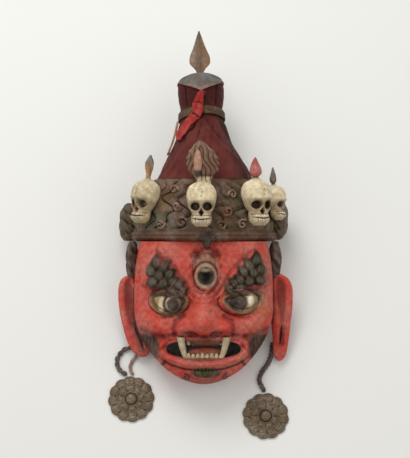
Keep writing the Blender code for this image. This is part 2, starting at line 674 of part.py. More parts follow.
# The red scarf knotted at the front, with its tail, and the strip down the left side
strip("red_scarf", [(2, 39.0), (-4, 36), (-8, 32.5), (-10, 28.5), (-30, 24), (-44, 19.5), (-46, 16.0)],
      [0.9, 1.9, 2.5, 2.4, 2.2, 2.7, 1.3], 0.85, 0.75, "red_cloth")
strip("side_strip", [(-72, 27.6), (-74, 24), (-73, 19), (-68, 13.5), (-64, 10.5)],
      [0.8, 1.3, 1.5, 1.8, 1.1], 0.45, 0.75, "beige_cloth")

# The spearhead: four blades of one leaf shape on a short neck
spear_top = cap_top + GAP_M
spear_shape = [(spear_top, 1.5, 1.5), (SPEAR_NECK + 1.8, 1.3, 1.3), (SPEAR_NECK + 3.4, 2.6, 1.9),
               (58.6, 4.9, 2.7), (60.4, 4.9, 2.7), (66.0, 3.0, 1.9), (SPEAR_TIP, 0.25, 0.2)]
add("spearhead", *loft([ring(y, a, b, 4) for y, a, b in spear_shape]), "dark_iron", hat, sharp=20.0)

# The ear pendants: pierced rosettes that lie on the ground
for name, (at_x, at_y), turn in (("rosette_left", LEFT_ROSETTE, 0.1), ("rosette_right", RIGHT_ROSETTE, 0.35)):
    half = ROSETTE_THICKNESS / UNIT / 2
    outline = []
    for i in range(ROSETTE_LOBES * 4):
        a = 2 * math.pi * i / (ROSETTE_LOBES * 4)
        r = ROSETTE_RADIUS * (0.93 + 0.07 * abs(math.cos(ROSETTE_LOBES * a / 2)))
        outline.append((r * math.cos(a), r * math.sin(a)))
    disc = plate(name, outline, -half, half, "old_brass", None)
    disc.location = on_ground(at_x, at_y, half)
    disc.rotation_euler = (0, 0, turn)
    for i in range(ROSETTE_LOBES // 2):
        a = 2 * math.pi * (i + 0.5) / (ROSETTE_LOBES // 2)
        hole = [(5.9 * math.cos(a) + 1.7 * math.cos(b), 5.9 * math.sin(a) + 1.7 * math.sin(b))
                for b in (2 * math.pi * k / 6 + a for k in range(6))]
        boolean(disc, plate(f"{name}_hole_{i}", hole, -3, 3, "dark_paint", disc))
    boss_rings = [(half - 0.2, 3.0), (half + 0.7, 2.7), (half + 1.3, 1.6), (half + 1.6, 0.5)]
    boss = add(f"{name}_boss", *loft([[(x, z, y) for x, y, z in ring(h, r, r, 10)] for h, r in boss_rings]),
               "old_brass", disc)
    boolean(disc, boss, "UNION")

# The cords that tie the pendants to the ear lobes, and the wire behind the left ear
TIE = TIE_DIAMETER / UNIT / 2
RIB = RIBBON_DIAMETER / UNIT / 2
left_top = LEFT_ROSETTE[1] + ROSETTE_RADIUS
right_top = RIGHT_ROSETTE[1] + ROSETTE_RADIUS
cord("tie_left",
     [on_ground(*p) for p in ((-33.0, 15.2, TIE), (-36.6, 13.8, TIE), (-39.2, 9.6, TIE), (-38.2, 5.2, TIE),
                              (-34.7, left_top + 0.4, TIE))], TIE_DIAMETER, "dark_cord", 14)
cord("ribbon_left",
     [on_ground(*p) for p in ((-30.2, 11.6, RIB), (-32.6, 8.4, RIB), (-33.2, 5.2, RIB),
                              (-31.9, left_top + 0.6, RIB))], RIBBON_DIAMETER, "pale_cord", 10)
cord("tie_right",
     [on_ground(*p) for p in ((31.2, 17.5, TIE), (30.8, 12.4, TIE), (29.2, 8.0, TIE), (26.0, 3.4, TIE),
                              (25.0, 0.0, TIE), (26.2, -3.0, TIE), (27.4, right_top + 0.4, TIE))],
     TIE_DIAMETER, "dark_cord", 18)
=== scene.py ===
"""The looks of a carved and painted wooden dance mask with a crown of skulls and a cloth hat.

The mask lies on its back on a pale floor and is seen from above its chin. Places are given in
measures, sixty-three from the chin to the headband: x across the face, y up it and z out of it.
"""

import math

import bpy
import numpy as np
from mathutils import Matrix, Vector


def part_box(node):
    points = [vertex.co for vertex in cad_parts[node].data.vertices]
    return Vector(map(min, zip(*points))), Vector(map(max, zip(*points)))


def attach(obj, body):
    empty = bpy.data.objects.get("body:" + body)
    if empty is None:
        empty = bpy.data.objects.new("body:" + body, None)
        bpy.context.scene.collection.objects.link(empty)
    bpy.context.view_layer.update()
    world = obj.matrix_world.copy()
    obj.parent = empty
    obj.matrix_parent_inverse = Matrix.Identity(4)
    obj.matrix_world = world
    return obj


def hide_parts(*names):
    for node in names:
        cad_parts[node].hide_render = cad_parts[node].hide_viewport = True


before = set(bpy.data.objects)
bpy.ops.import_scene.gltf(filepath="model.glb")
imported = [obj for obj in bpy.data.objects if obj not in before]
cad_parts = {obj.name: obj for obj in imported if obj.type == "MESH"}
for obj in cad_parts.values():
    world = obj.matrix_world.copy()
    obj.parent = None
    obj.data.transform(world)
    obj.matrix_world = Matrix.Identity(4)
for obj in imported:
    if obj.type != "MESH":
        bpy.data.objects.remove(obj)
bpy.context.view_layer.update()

# The mask lies with its chin on the ground and its face leaning back twenty degrees. The middle
# of the right pendant is a known place, so its box in the model gives the chin's, and the hat's foot with it.
MEASURE = 0.290 / 63
LEAN = math.radians(20)
RIGHT_PENDANT = (27.6, -16.0)
pendant_low, pendant_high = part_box("rosette_right")
pendant_middle = (pendant_low + pendant_high) / 2
CHIN = Vector((pendant_middle.x - RIGHT_PENDANT[0] * MEASURE,
               pendant_middle.y - RIGHT_PENDANT[1] * MEASURE, 0))
GROUND = Matrix.Translation(CHIN) @ Matrix.Scale(MEASURE, 4)
HEAD = Matrix.Translation(CHIN) @ Matrix.Rotation(LEAN, 4, "X") @ Matrix.Scale(MEASURE, 4)
CROWN_TOP = 91.0
HAT_DEPTH = -10.2
HAT_ROLL = math.radians(1.8)
HAT_TILT = math.radians(5)
HAT = (Matrix.Translation(HEAD @ Vector((0, CROWN_TOP, HAT_DEPTH)))
       @ Matrix.Rotation(HAT_ROLL, 4, "Z") @ Matrix.Rotation(HAT_TILT, 4, "X")
       @ Matrix.Scale(MEASURE, 4))

# The camera stands off from the chin's side and looks down on the mask at seventy degrees.
CAMERA_RISE = math.radians(70)
CAMERA_AWAY = 2.35
CAMERA_LENS = 89
PICTURE_MIDDLE = (0.6, 68.5, 0)
looked_at = HEAD @ Vector(PICTURE_MIDDLE)
away = Vector((0, -math.cos(CAMERA_RISE), math.sin(CAMERA_RISE)))
bpy.ops.object.camera_add(location=looked_at + away * CAMERA_AWAY,
                          rotation=(math.pi / 2 - CAMERA_RISE, 0, 0))
camera = bpy.context.object
camera.data.lens = CAMERA_LENS
bpy.context.scene.camera = camera

# The cords that tie the ear pendants on. Two are dark hair cord, of two and of three strands laid
# together, and one is a faded ribbon rolled into a cord. They lie on the ground below the ears.


def curve_points(route, count):
    """Points evenly along a smooth curve through the route's own points."""
    ends = [2 * Vector(route[0]) - Vector(route[1])] + [Vector(p) for p in route]
    ends.append(2 * Vector(route[-1]) - Vector(route[-2]))
    dense = []
    for k in range(len(route) - 1):
        a, b, c, d = ends[k : k + 4]
        for i in range(20):
            t = i / 20
            bend = (2 * a - 5 * b + 4 * c - d) * t**2 + (3 * b - a - 3 * c + d) * t**3
            dense.append(0.5 * (2 * b + (c - a) * t + bend))
    dense.append(Vector(route[-1]))
    walked = [0.0]
    for p, q in zip(dense[:-1], dense[1:]):
        walked.append(walked[-1] + (q - p).length)
    made = []
    k = 0
    for i in range(count):
        goal = walked[-1] * i / (count - 1)
        while k < len(walked) - 2 and walked[k + 1] < goal:
            k += 1
        t = (goal - walked[k]) / (walked[k + 1] - walked[k])
        made.append(dense[k].lerp(dense[k + 1], min(max(t, 0.0), 1.0)))
    return made


def tone(red, green, blue):
    """A colour as the eye sees it, from 0 to 255, as the shader's linear one."""
    return tuple(c / 12.92 if c <= 0.04045 else ((c + 0.055) / 1.055) ** 2.4
                 for c in (red / 255, green / 255, blue / 255))


def new_group(name, inputs, outputs):
    """An empty shader node group with these sockets, and its two ends."""
    group = bpy.data.node_groups.new(name, "ShaderNodeTree")
    for socket, kind, value in inputs:
        made = group.interface.new_socket(socket, in_out="INPUT", socket_type=kind)
        made.default_value = value
    for socket, kind in outputs:
        group.interface.new_socket(socket, in_out="OUTPUT", socket_type=kind)
    return group, group.nodes.new("NodeGroupInput"), group.nodes.new("NodeGroupOutput")


def node(tree, kind, inputs=(), **settings):
    """A new node with its settings, and its inputs set or linked."""
    made = tree.nodes.new(kind)
    for name, value in settings.items():
        setattr(made, name, value)
    for socket, value in dict(inputs).items():
        if isinstance(value, bpy.types.NodeSocket):
            tree.links.new(value, made.inputs[socket])
        else:
            made.inputs[socket].default_value = value
    return made


def noise(tree, place, scale, detail=3.0, rough=0.55):
    """The value of a noise of this scale, about a half on the whole."""
    return node(tree, "ShaderNodeTexNoise", {"Vector": place, "Scale": scale, "Detail": detail,
                                             "Roughness": rough}).outputs["Fac"]


def ramp(tree, value, low, high, bottom=0.0, top=1.0):
    """The value taken smoothly from one range to another."""
    limits = {"Value": value, "From Min": low, "From Max": high, "To Min": bottom, "To Max": top}
    return node(tree, "ShaderNodeMapRange", limits, interpolation_type="SMOOTHSTEP").outputs["Result"]


def maths(tree, how, a, b=0.0):
    """One sum of two values, or one function of a single value."""
    return node(tree, "ShaderNodeMath", {0: a, 1: b}, operation=how).outputs[0]


def mix(tree, share, a, b, how="MIX"):
    """One colour over another by a share."""
    return node(tree, "ShaderNodeMix", {0: share, 6: a, 7: b}, data_type="RGBA", blend_type=how).outputs[2]


SHINE = 0.2


def material(name, rough=0.6, metallic=0.0, **sockets):
    """A material with its tree and its shader, whose plain values are set; old surfaces shine little."""
    made = bpy.data.materials.new(name)
    made.use_nodes = True
    shader = made.node_tree.nodes["Principled BSDF"]
    shader.inputs["Roughness"].default_value = rough
    shader.inputs["Metallic"].default_value = metallic
    shader.inputs["Specular IOR Level"].default_value = SHINE
    for socket, value in sockets.items():
        shader.inputs[socket.replace("_", " ")].default_value = value
    return made, made.node_tree, shader


def finish_material(tree, shader, colour, rough, height, depth):
    """Links a colour, a roughness and a bump of this depth in metres to the shader."""
    tree.links.new(colour, shader.inputs["Base Color"])
    tree.links.new(rough, shader.inputs["Roughness"])
    bump = node(tree, "ShaderNodeBump", {"Height": height, "Distance": depth, "Strength": 1.0})
    tree.links.new(bump.outputs["Normal"], shader.inputs["Normal"])


# A group for what is spun or woven: threads across and along, painted shade in the hollows, faded patches
cloth_group, cloth_in, cloth_out = new_group(
    "threads and fading",
    [("Colour", "NodeSocketColor", (0.5, 0.5, 0.5, 1)), ("Faded", "NodeSocketColor", (0.6, 0.6, 0.6, 1)),
     ("Dark", "NodeSocketColor", (0.1, 0.1, 0.1, 1)), ("Along", "NodeSocketFloat", 200.0),
     ("Across", "NodeSocketFloat", 200.0), ("Patches", "NodeSocketFloat", 30.0)],
    [("Colour", "NodeSocketColor"), ("Roughness", "NodeSocketFloat"), ("Height", "NodeSocketFloat")])
t = cloth_group
uv = node(t, "ShaderNodeUVMap", uv_map="UVMap").outputs["UV"]
place = node(t, "ShaderNodeTexCoord").outputs["Object"]
split = node(t, "ShaderNodeSeparateXYZ", {0: uv})
thread_a = maths(t, "SINE", maths(t, "MULTIPLY", split.outputs["X"], cloth_in.outputs["Along"]))
thread_b = maths(t, "SINE", maths(t, "MULTIPLY", split.outputs["Y"], cloth_in.outputs["Across"]))
weave = ramp(t, maths(t, "ADD", thread_a, thread_b), -2.0, 2.0)
patches = noise(t, place, cloth_in.outputs["Patches"], 4.0)
fibres = noise(t, place, 900.0, 2.0)
hollow = node(t, "ShaderNodeAttribute", attribute_name="hollow").outputs["Fac"]
faded = mix(t, ramp(t, patches, 0.42, 0.66), cloth_in.outputs["Colour"], cloth_in.outputs["Faded"])
# Painted shade: the cloth turns to its dark colour in its folds and hollows
fold_shade = ramp(t, maths(t, "ADD", hollow, maths(t, "MULTIPLY", patches, 0.3)), 0.12, 0.75)
dark = mix(t, fold_shade, faded, cloth_in.outputs["Dark"])
threaded = mix(t, ramp(t, weave, 0.0, 0.5, 0.30, 0.0), dark, cloth_in.outputs["Dark"])
# Painted shade where a piece stores a share of it, as the cone does down its right side
shade = node(t, "ShaderNodeAttribute", attribute_name="shade").outputs["Fac"]
t.links.new(mix(t, shade, threaded, cloth_in.outputs["Dark"]), cloth_out.inputs["Colour"])
t.links.new(ramp(t, patches, 0.3, 0.7, 0.55, 0.85), cloth_out.inputs["Roughness"])
t.links.new(maths(t, "ADD", weave, maths(t, "MULTIPLY", fibres, 0.6)), cloth_out.inputs["Height"])


def cloth(name, colour, faded, dark, along, across, patches=30.0, depth=0.0003, sheen=0.0, tint=(1, 1, 1)):
    """A woven material with so many threads along and across its UV map."""
    made, tree, shader = material(name, Sheen_Weight=sheen, Sheen_Roughness=0.4, Sheen_Tint=(*tint, 1))
    group = node(tree, "ShaderNodeGroup", node_tree=cloth_group)
    for socket, value in (("Colour", colour), ("Faded", faded), ("Dark", dark)):
        group.inputs[socket].default_value = (*value, 1)
    group.inputs["Along"].default_value = along * 2 * math.pi
    group.inputs["Across"].default_value = across * 2 * math.pi
    group.inputs["Patches"].default_value = patches
    finish_material(tree, shader, *[group.outputs[s] for s in ("Colour", "Roughness", "Height")], depth)
    return made


def rolled(name, across, along, place, matrix=None, closed=True, merged=True):
    """A grid rolled into a skin: place takes u and v, from 0 to 1, to points in the matrix's frame."""
    bpy.ops.object.select_all(action="DESELECT")
    bpy.ops.mesh.primitive_grid_add(x_subdivisions=across, y_subdivisions=along, size=1)
    piece = bpy.context.object
    piece.name = piece.data.name = name
    flat = np.empty(len(piece.data.vertices) * 3)
    piece.data.vertices.foreach_get("co", flat)
    u, v = flat[0::3] + 0.5, flat[1::3] + 0.5
    moved = np.stack(np.broadcast_arrays(*place(u, v)), -1)
    piece.data.vertices.foreach_set("co", moved.ravel())
    if matrix:
        piece.data.transform(matrix)
    bpy.ops.object.mode_set(mode="EDIT")
    if merged:
        bpy.ops.mesh.select_all(action="SELECT")
        bpy.ops.mesh.remove_doubles(threshold=0.00001)
    if closed:
        bpy.ops.mesh.select_mode(type="EDGE")
        bpy.ops.mesh.select_all(action="DESELECT")
        bpy.ops.mesh.select_non_manifold()
        bpy.ops.mesh.fill_holes(sides=0)
        bpy.ops.mesh.select_all(action="SELECT")
        bpy.ops.mesh.normals_make_consistent(inside=False)
    bpy.ops.object.mode_set(mode="OBJECT")
    bpy.ops.object.shade_smooth()
    return piece


PURE_WHITE = 0.95
NO_COLOUR = 1e-4


def fill_cut_edges(piece):
    """Gives the bare points that a cut has added the mean colour of the points beside them."""
    mesh = piece.data
    paint = np.empty(len(mesh.vertices) * 4)
    mesh.attributes["paint"].data.foreach_get("color", paint)
    paint = paint.reshape(-1, 4)
    ends = np.empty(len(mesh.edges) * 2, dtype=np.int64)
    mesh.edges.foreach_get("vertices", ends)
    ends = ends.reshape(-1, 2)
    for _ in range(6):
        bare = (paint[:, :3].min(axis=1) > PURE_WHITE) | (paint[:, :3].max(axis=1) < NO_COLOUR)
        total, count = np.zeros((len(paint), 3)), np.zeros(len(paint))
        for here, there in ((ends[:, 0], ends[:, 1]), (ends[:, 1], ends[:, 0])):
            given = bare[here] & ~bare[there]
            np.add.at(total, here[given], paint[there[given], :3])
            np.add.at(count, here[given], 1)
        paint[count > 0, :3] = total[count > 0] / count[count > 0, None]
    mesh.attributes["paint"].data.foreach_set("color", paint.ravel())


HARD_EDGE = math.radians(50)


def finish_piece(piece, slot, *nodes, look=None):
    """Gives a piece its material and its hard edges, its body and its nodes; its slot is not used."""
    if look:
        piece.data.materials.clear()
        piece.data.materials.append(look)
    if "paint" in piece.data.attributes:
        fill_cut_edges(piece)
    if not piece.modifiers:
        bpy.ops.object.select_all(action="DESELECT")
        piece.select_set(True)
        bpy.context.view_layer.objects.active = piece
        bpy.ops.object.shade_smooth_by_angle(angle=HARD_EDGE)
    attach(piece, "root")
    if nodes:
        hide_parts(*nodes)
    return piece


def joined(name, pieces):
    """Several meshes made one object."""
    bpy.ops.object.select_all(action="DESELECT")
    for piece in pieces:
        piece.select_set(True)
    bpy.context.view_layer.objects.active = pieces[0]
    bpy.ops.object.join()
    pieces[0].name = pieces[0].data.name = name
    return pieces[0]


def numbers(mesh, what="co"):
    """The places or normals of a mesh's points, one row each."""
    source = mesh.vertices if what == "co" else mesh.vertex_normals
    values = np.empty(len(mesh.vertices) * 3)
    source.foreach_get("co" if what == "co" else "vector", values)
    return values.reshape(-1, 3)


def mark_hollows(piece, reach, depth):
    """Stores above nought in the piece's hollows and below it on its ridges, one at this depth."""
    mesh = piece.data
    count = len(mesh.vertices)
    points = numbers(mesh)
    ends = np.empty(len(mesh.edges) * 2, np.int64)
    mesh.edges.foreach_get("vertices", ends)
    a, b = ends.reshape(-1, 2).T
    degree = np.maximum(np.bincount(ends, minlength=count), 1)
    smoothed = points.copy()
    for _ in range(reach):
        total = [np.bincount(a, smoothed[b, k], count) + np.bincount(b, smoothed[a, k], count)
                 for k in range(3)]
        smoothed = np.stack(total, -1) / degree[:, None]
    deep = ((smoothed - points) * numbers(mesh, "normal")).sum(1) / depth
    store(piece, "hollow", np.clip(deep, -1, 1))


def store(piece, name, values):
    """Keeps one number or one colour for each point of a piece."""
    kind = "FLOAT" if values.ndim == 1 else "FLOAT_COLOR"
    mesh = piece.data
    if name in mesh.attributes:
        mesh.attributes.remove(mesh.attributes[name])
    layer = mesh.attributes.new(name, kind, "POINT")
    if values.ndim == 1:
        layer.data.foreach_set("value", values)
    else:
        layer.data.foreach_set("color", np.hstack([values, np.ones((len(values), 1))]).ravel())


def frames_along(points):
    """A side and an upward direction across a path at each of its points."""
    made = []
    for i, point in enumerate(points):
        along = (points[min(i + 1, len(points) - 1)] - points[max(i - 1, 0)]).normalized()
        side = along.cross(Vector((0, 0, 1))).normalized()
        made.append((point, side, side.cross(along)))
    return made


def columns(rows, at):
    """What the rows at these places hold, one array for each thing in a row."""
    return [np.array([rows[k][i] for k in at]) for i in range(len(rows[0]))]


def strand(name, path, radius, off, turns, start, flat=1.0, sides=10):
    """One strand that winds about a path, its own radius round and so far off the path."""
    points = frames_along(path)
    last = len(points) - 1

    def place(u, v):
        at = np.clip(np.round(v * last).astype(int), 0, last)
        centre, side, up = columns(points, at)
        wind = start + turns * 2 * math.pi * v
        across = np.cos(wind)[:, None] * side + np.sin(wind)[:, None] * up
        round_ = 2 * math.pi * u
        taper = np.minimum(1.0, 0.55 + 8 * np.minimum(v, 1 - v))
        swell = np.cos(round_)[:, None] * side + flat * np.sin(round_)[:, None] * up
        moved = centre + off * across + (radius * taper)[:, None] * swell
        return moved.T

    return rolled(name, sides, last, place)


LEFT_TIE = [(-33.0, 15.2), (-36.6, 13.8), (-39.2, 9.6), (-38.2, 5.2), (-34.7, 2.4)]
LEFT_RIBBON = [(-30.2, 11.6), (-32.6, 8.4), (-33.2, 5.2), (-31.9, 2.6)]
RIGHT_TIE = [(31.2, 17.5), (30.8, 12.4), (29.2, 8.0), (26.0, 3.4), (25.0, 0.0), (26.2, -3.0),
             (27.4, -5.2)]

hair_cord = cloth("dark_hair_cord", tone(96, 82, 74), tone(126, 112, 102), tone(38, 30, 28),
                  6, 90, 90.0, 0.0006)
faded_ribbon = cloth("faded_ribbon", tone(150, 122, 112), tone(176, 158, 140), tone(88, 62, 56),
                     10, 60, 70.0)


def free_cord(name, route, diameter, twists, strands, look, slot):
    """A cord of strands laid together."""
    high = diameter / 2 / MEASURE
    path = curve_points([GROUND @ Vector((x, y, high)) for x, y in route], 24 * (len(route) - 1))
    radius = diameter * (0.30 if strands == 2 else 0.26)
    off = diameter * 0.5 - radius
    wound = [strand(f"{name}_{k}", path, radius, off, twists, 2 * math.pi * k / strands, 0.97)
             for k in range(strands)]
    # The CAD's own node holds the cord's plain name
    cord = joined(f"{name}_laid", wound)
    mark_hollows(cord, 3, 0.0006)
    finish_piece(cord, slot, name, look=look)


free_cord("tie_left", LEFT_TIE, 0.0105, 3.2, 2, hair_cord, "dark_cord")
free_cord("tie_right", RIGHT_TIE, 0.0105, 4.4, 3, hair_cord, "dark_cord")
free_cord("ribbon_left", LEFT_RIBBON, 0.0075, 1.2, 3, faded_ribbon, "pale_cord")

# The face is hollowed from one block of wood, eleven millimetres thick: a dome that turns down at
# its sides, with the brows, the three eyes, the nose, the cheeks and the lips carved out of it.
FACE_WALL = 0.011 / MEASURE
BAND = 63.0
GAP = 0.0003 / MEASURE
CENTRE = 34.0
HALF_WIDTH = 31.2
UPPER_REACH = 46.0
LOWER_REACH = 34.0
UPPER_SQUARE = 3.0
JAW_SQUARE = 1.82
DOME = 13.5
DOME_SQUARE = 2.8
EDGE_AT_CHIN = 6.0
EDGE_AT_TOP = -2.0
MOUTH = 16.4
MOUTH_HALF_WIDTH = 16.2
MOUTH_HALF_HEIGHT = 3.9
MOUTH_SQUARE = 2.8

# Outlines on the face as they are seen from the front, and each iris by its middle and half sizes
EYES = {
    "left": [(-23.6, 39.2), (-22.6, 35.6), (-19.6, 32.6), (-15.2, 31.2), (-11.0, 31.9),
             (-7.8, 34.6), (-6.8, 38.2), (-9.5, 39.3), (-14.5, 40.2), (-19.5, 40.8)],
    "right": [(8.2, 38.6), (10.0, 34.9), (13.6, 32.9), (18.0, 32.3), (22.2, 33.4), (25.2, 36.8),
              (26.0, 39.8), (20.5, 41.0), (14.5, 40.5)],
}
IRISES = {"left": (-13.3, 36.0, 4.5, 4.5), "right": (14.0, 36.7, 5.2, 3.8)}
# The carved tufts of each brow: their place, half width, half height and slant
TUFTS = [
    (-20.8, 53.6, 2.1, 3.0, 12), (-17.4, 52.0, 2.1, 2.9, -30), (-23.0, 50.2, 2.0, 2.6, 18),
    (-19.6, 48.6, 2.2, 2.8, -5), (-15.0, 48.8, 2.0, 2.8, -38), (-22.4, 45.4, 2.3, 2.2, 10),
    (-17.6, 44.8, 2.4, 2.2, 5), (-13.6, 45.4, 2.1, 2.6, -36), (-11.0, 44.0, 1.7, 2.6, -42),
    (-14.2, 42.2, 2.5, 1.5, -14), (-9.2, 41.6, 1.7, 2.0, -40), (23.2, 55.0, 2.1, 3.0, -14),
    (20.2, 52.8, 2.1, 3.0, 30), (25.2, 50.8, 2.0, 2.7, -12), (22.0, 49.4, 2.2, 2.8, 6),
    (17.6, 49.8, 2.0, 2.8, 38), (24.8, 46.4, 2.3, 2.2, -8), (20.2, 46.0, 2.4, 2.2, 0),
    (16.0, 46.4, 2.0, 2.6, 36), (13.4, 45.0, 1.8, 2.6, 42), (15.8, 43.2, 2.4, 1.5, 14),
    (11.4, 42.6, 1.7, 2.1, 40),
]
# The fine locks of hair on each side of the jaw, from the cheek down
JAW_HAIRS = [[(22.2 + k * 1.5, 21.6), (22.6 + k * 1.6, 16.6), (21.2 + k * 1.9, 11.6)] for k in range(5)]
THIRD_EYE = (1.0, 48.0, 3.9, 4.1)
THIRD_OVAL = [(0.6, 41.0), (-3.2, 43.0), (-4.9, 47.0), (-4.8, 52.4), (-4.2, 56.6), (-1.6, 59.0),
              (3.0, 59.2), (5.8, 56.8), (6.5, 52.4), (6.4, 47.0), (4.4, 43.0)]


def smooth_step(x):
    """Nought below nought, one above one and smooth between them."""
    x = np.clip(x, 0.0, 1.0)
    return x * x * (3 - 2 * x)


def hill(x, y, at_x, at_y, wide, tall):
    """A soft mound one high, this wide and tall."""
    return np.exp(-(((x - at_x) / wide) ** 2) - ((y - at_y) / tall) ** 2)


def cap(x, y, at_x, at_y, wide, tall):
    """The height of a ball's cap over its oval foot."""
    return np.sqrt(np.clip(1 - ((x - at_x) / wide) ** 2 - ((y - at_y) / tall) ** 2, 0, 1))


def to_path(x, y, path):
    """How far each point is from a path."""
    nearest = np.full(np.shape(x), 1e9)
    for (ax, ay), (bx, by) in zip(path[:-1], path[1:]):
        length = (bx - ax) ** 2 + (by - ay) ** 2
        t = np.clip(((x - ax) * (bx - ax) + (y - ay) * (by - ay)) / length, 0, 1)
        nearest = np.minimum(nearest, np.hypot(x - ax - t * (bx - ax), y - ay - t * (by - ay)))
    return nearest


def stroke(x, y, path, half):
    """A rounded ridge, one high, along a path of points."""
    return smooth_step(1 - to_path(x, y, path) / half)


def rounded(outline):
    """A closed outline with its corners taken off twice."""
    for _ in range(2):
        cut = []
        for p, q in zip(outline, outline[1:] + outline[:1]):
            cut += [(0.75 * p[0] + 0.25 * q[0], 0.75 * p[1] + 0.25 * q[1]),
                    (0.25 * p[0] + 0.75 * q[0], 0.25 * p[1] + 0.75 * q[1])]
        outline = cut
    return outline


def depth_in(x, y, outline):
    """How far each point is inside a closed outline, below nought outside it."""
    within = np.zeros(np.shape(x), bool)
    for (ax, ay), (bx, by) in zip(outline, outline[1:] + outline[:1]):
        if ay != by:
            within ^= ((ay > y) != (by > y)) & (x < (bx - ax) * (y - ay) / (by - ay) + ax)
    return np.where(within, 1, -1) * to_path(x, y, outline + outline[:1])


def inside(x, y, corners, soft):
    """One inside a convex outline given clockwise, falling to nought over its border."""
    depth = np.full(np.shape(x), 1e9)
    for (ax, ay), (bx, by) in zip(corners, corners[1:] + corners[:1]):
        length = math.hypot(bx - ax, by - ay)
        depth = np.minimum(depth, ((x - ax) * (by - ay) - (y - ay) * (bx - ax)) / length)
    return smooth_step(depth / soft + 0.5)


def curl(at_x, at_y, radius, start, turns, hand=1):
    """A spiral path that winds inward."""
    made = []
    for i in range(13):
        share = i / 12
        a = math.radians(start) + hand * turns * 2 * math.pi * share
        r = radius * (1 - 0.8 * share)
        made.append((at_x + r * math.cos(a), at_y + r * math.sin(a)))
    return made


SCROLLS = [curl(-3.8, 57.4, 1.9, -40, 1.0), curl(5.6, 57.6, 1.9, 220, 1.0, -1)]


def carving(x, y):
    """How far the broad carving stands out of the face's plain dome, in measures."""
    side = np.abs(x)
    made = 3.6 * hill(x, y, 0, 13.5, 17.5, 10) + 1.8 * hill(x, y, 0, 4, 10, 5)
    made += 4.0 * hill(side, y, 21.8, 27.5, 8.0, 6.5) * smooth_step((y - 19.8) / 2.2)
    made -= 2.4 * hill(side, y, 26.0, 16.0, 4.8, 5.0)
    made += 2.2 * smooth_step((20.8 + 0.1 * (y - 14) - side) / 2.6) * smooth_step((22.0 - y) / 3.0)
    below_nose = smooth_step((y - 21.4) / 1.6)
    made += below_nose * 3.8 * hill(x, y, 0, 36, 4.6, 8)
    made += below_nose * 8.8 * hill(x, y, 0, 27.8, 6.6, 6.2)
    made += below_nose * 4.8 * hill(side, y, 9.8, 25.4, 3.8, 3.7)
    made -= 2.6 * hill(side, y, 15.5, 37, 11.5, 6.5)
    made += 5.4 * cap(side, y, 15.3, 36.8, 8.8, 5.6)
    made += 1.0 * cap(side, y, 13.4, 36.4, 4.6, 4.4)
    brow = [(6.2, 38.8), (12.4, 50.0), (21.6, 58.4), (27.2, 52.0), (27.4, 44.0)]
    made += 2.0 * inside(side, y, brow, 2.2)
    made += 3.6 * cap(x, y, 0.9, 47.6, 5.0, 6.1)
    made += 1.7 * stroke(side, y, [(0, 21.4), (9, 21.8), (16, 21.2), (19.6, 17.0)], 1.8)
    made += 2.6 * stroke(side, y, [(0, 10.0), (9, 10.4), (16, 12.6), (19.6, 16.4)], 2.7)
    made += 1.2 * hill(x, y, 0, 5.8, 6, 2.2)
    made += 0.9 * stroke(side, y, [(29.5, 46), (29.0, 55), (27.5, 62)], 1.4)
    return made


def tufts(x, y, grown=1.0):
    """The brows' tufts of hair, one high at their crests, pointed upward and parted by grooves."""
    made = np.zeros(np.shape(x))
    for at_x, at_y, wide, tall, slant in TUFTS:
        c, s = math.cos(math.radians(slant)), math.sin(math.radians(slant))
        across = (x - at_x) * c + (y - at_y) * s
        along = (y - at_y) * c - (x - at_x) * s
        narrower = 1 - 0.4 * np.clip(along / tall, 0, 1)
        across = (across + 0.5 * np.sign(at_x) * (along / tall) ** 2) / narrower
        round_ = np.sqrt(np.clip(1 - (across / wide / grown) ** 2 - (along / tall / grown) ** 2, 0, 1))
        round_ = round_ * (1 - 0.22 * np.exp(-((across / 0.35) ** 2)))
        made = np.maximum(made, round_)
    return made


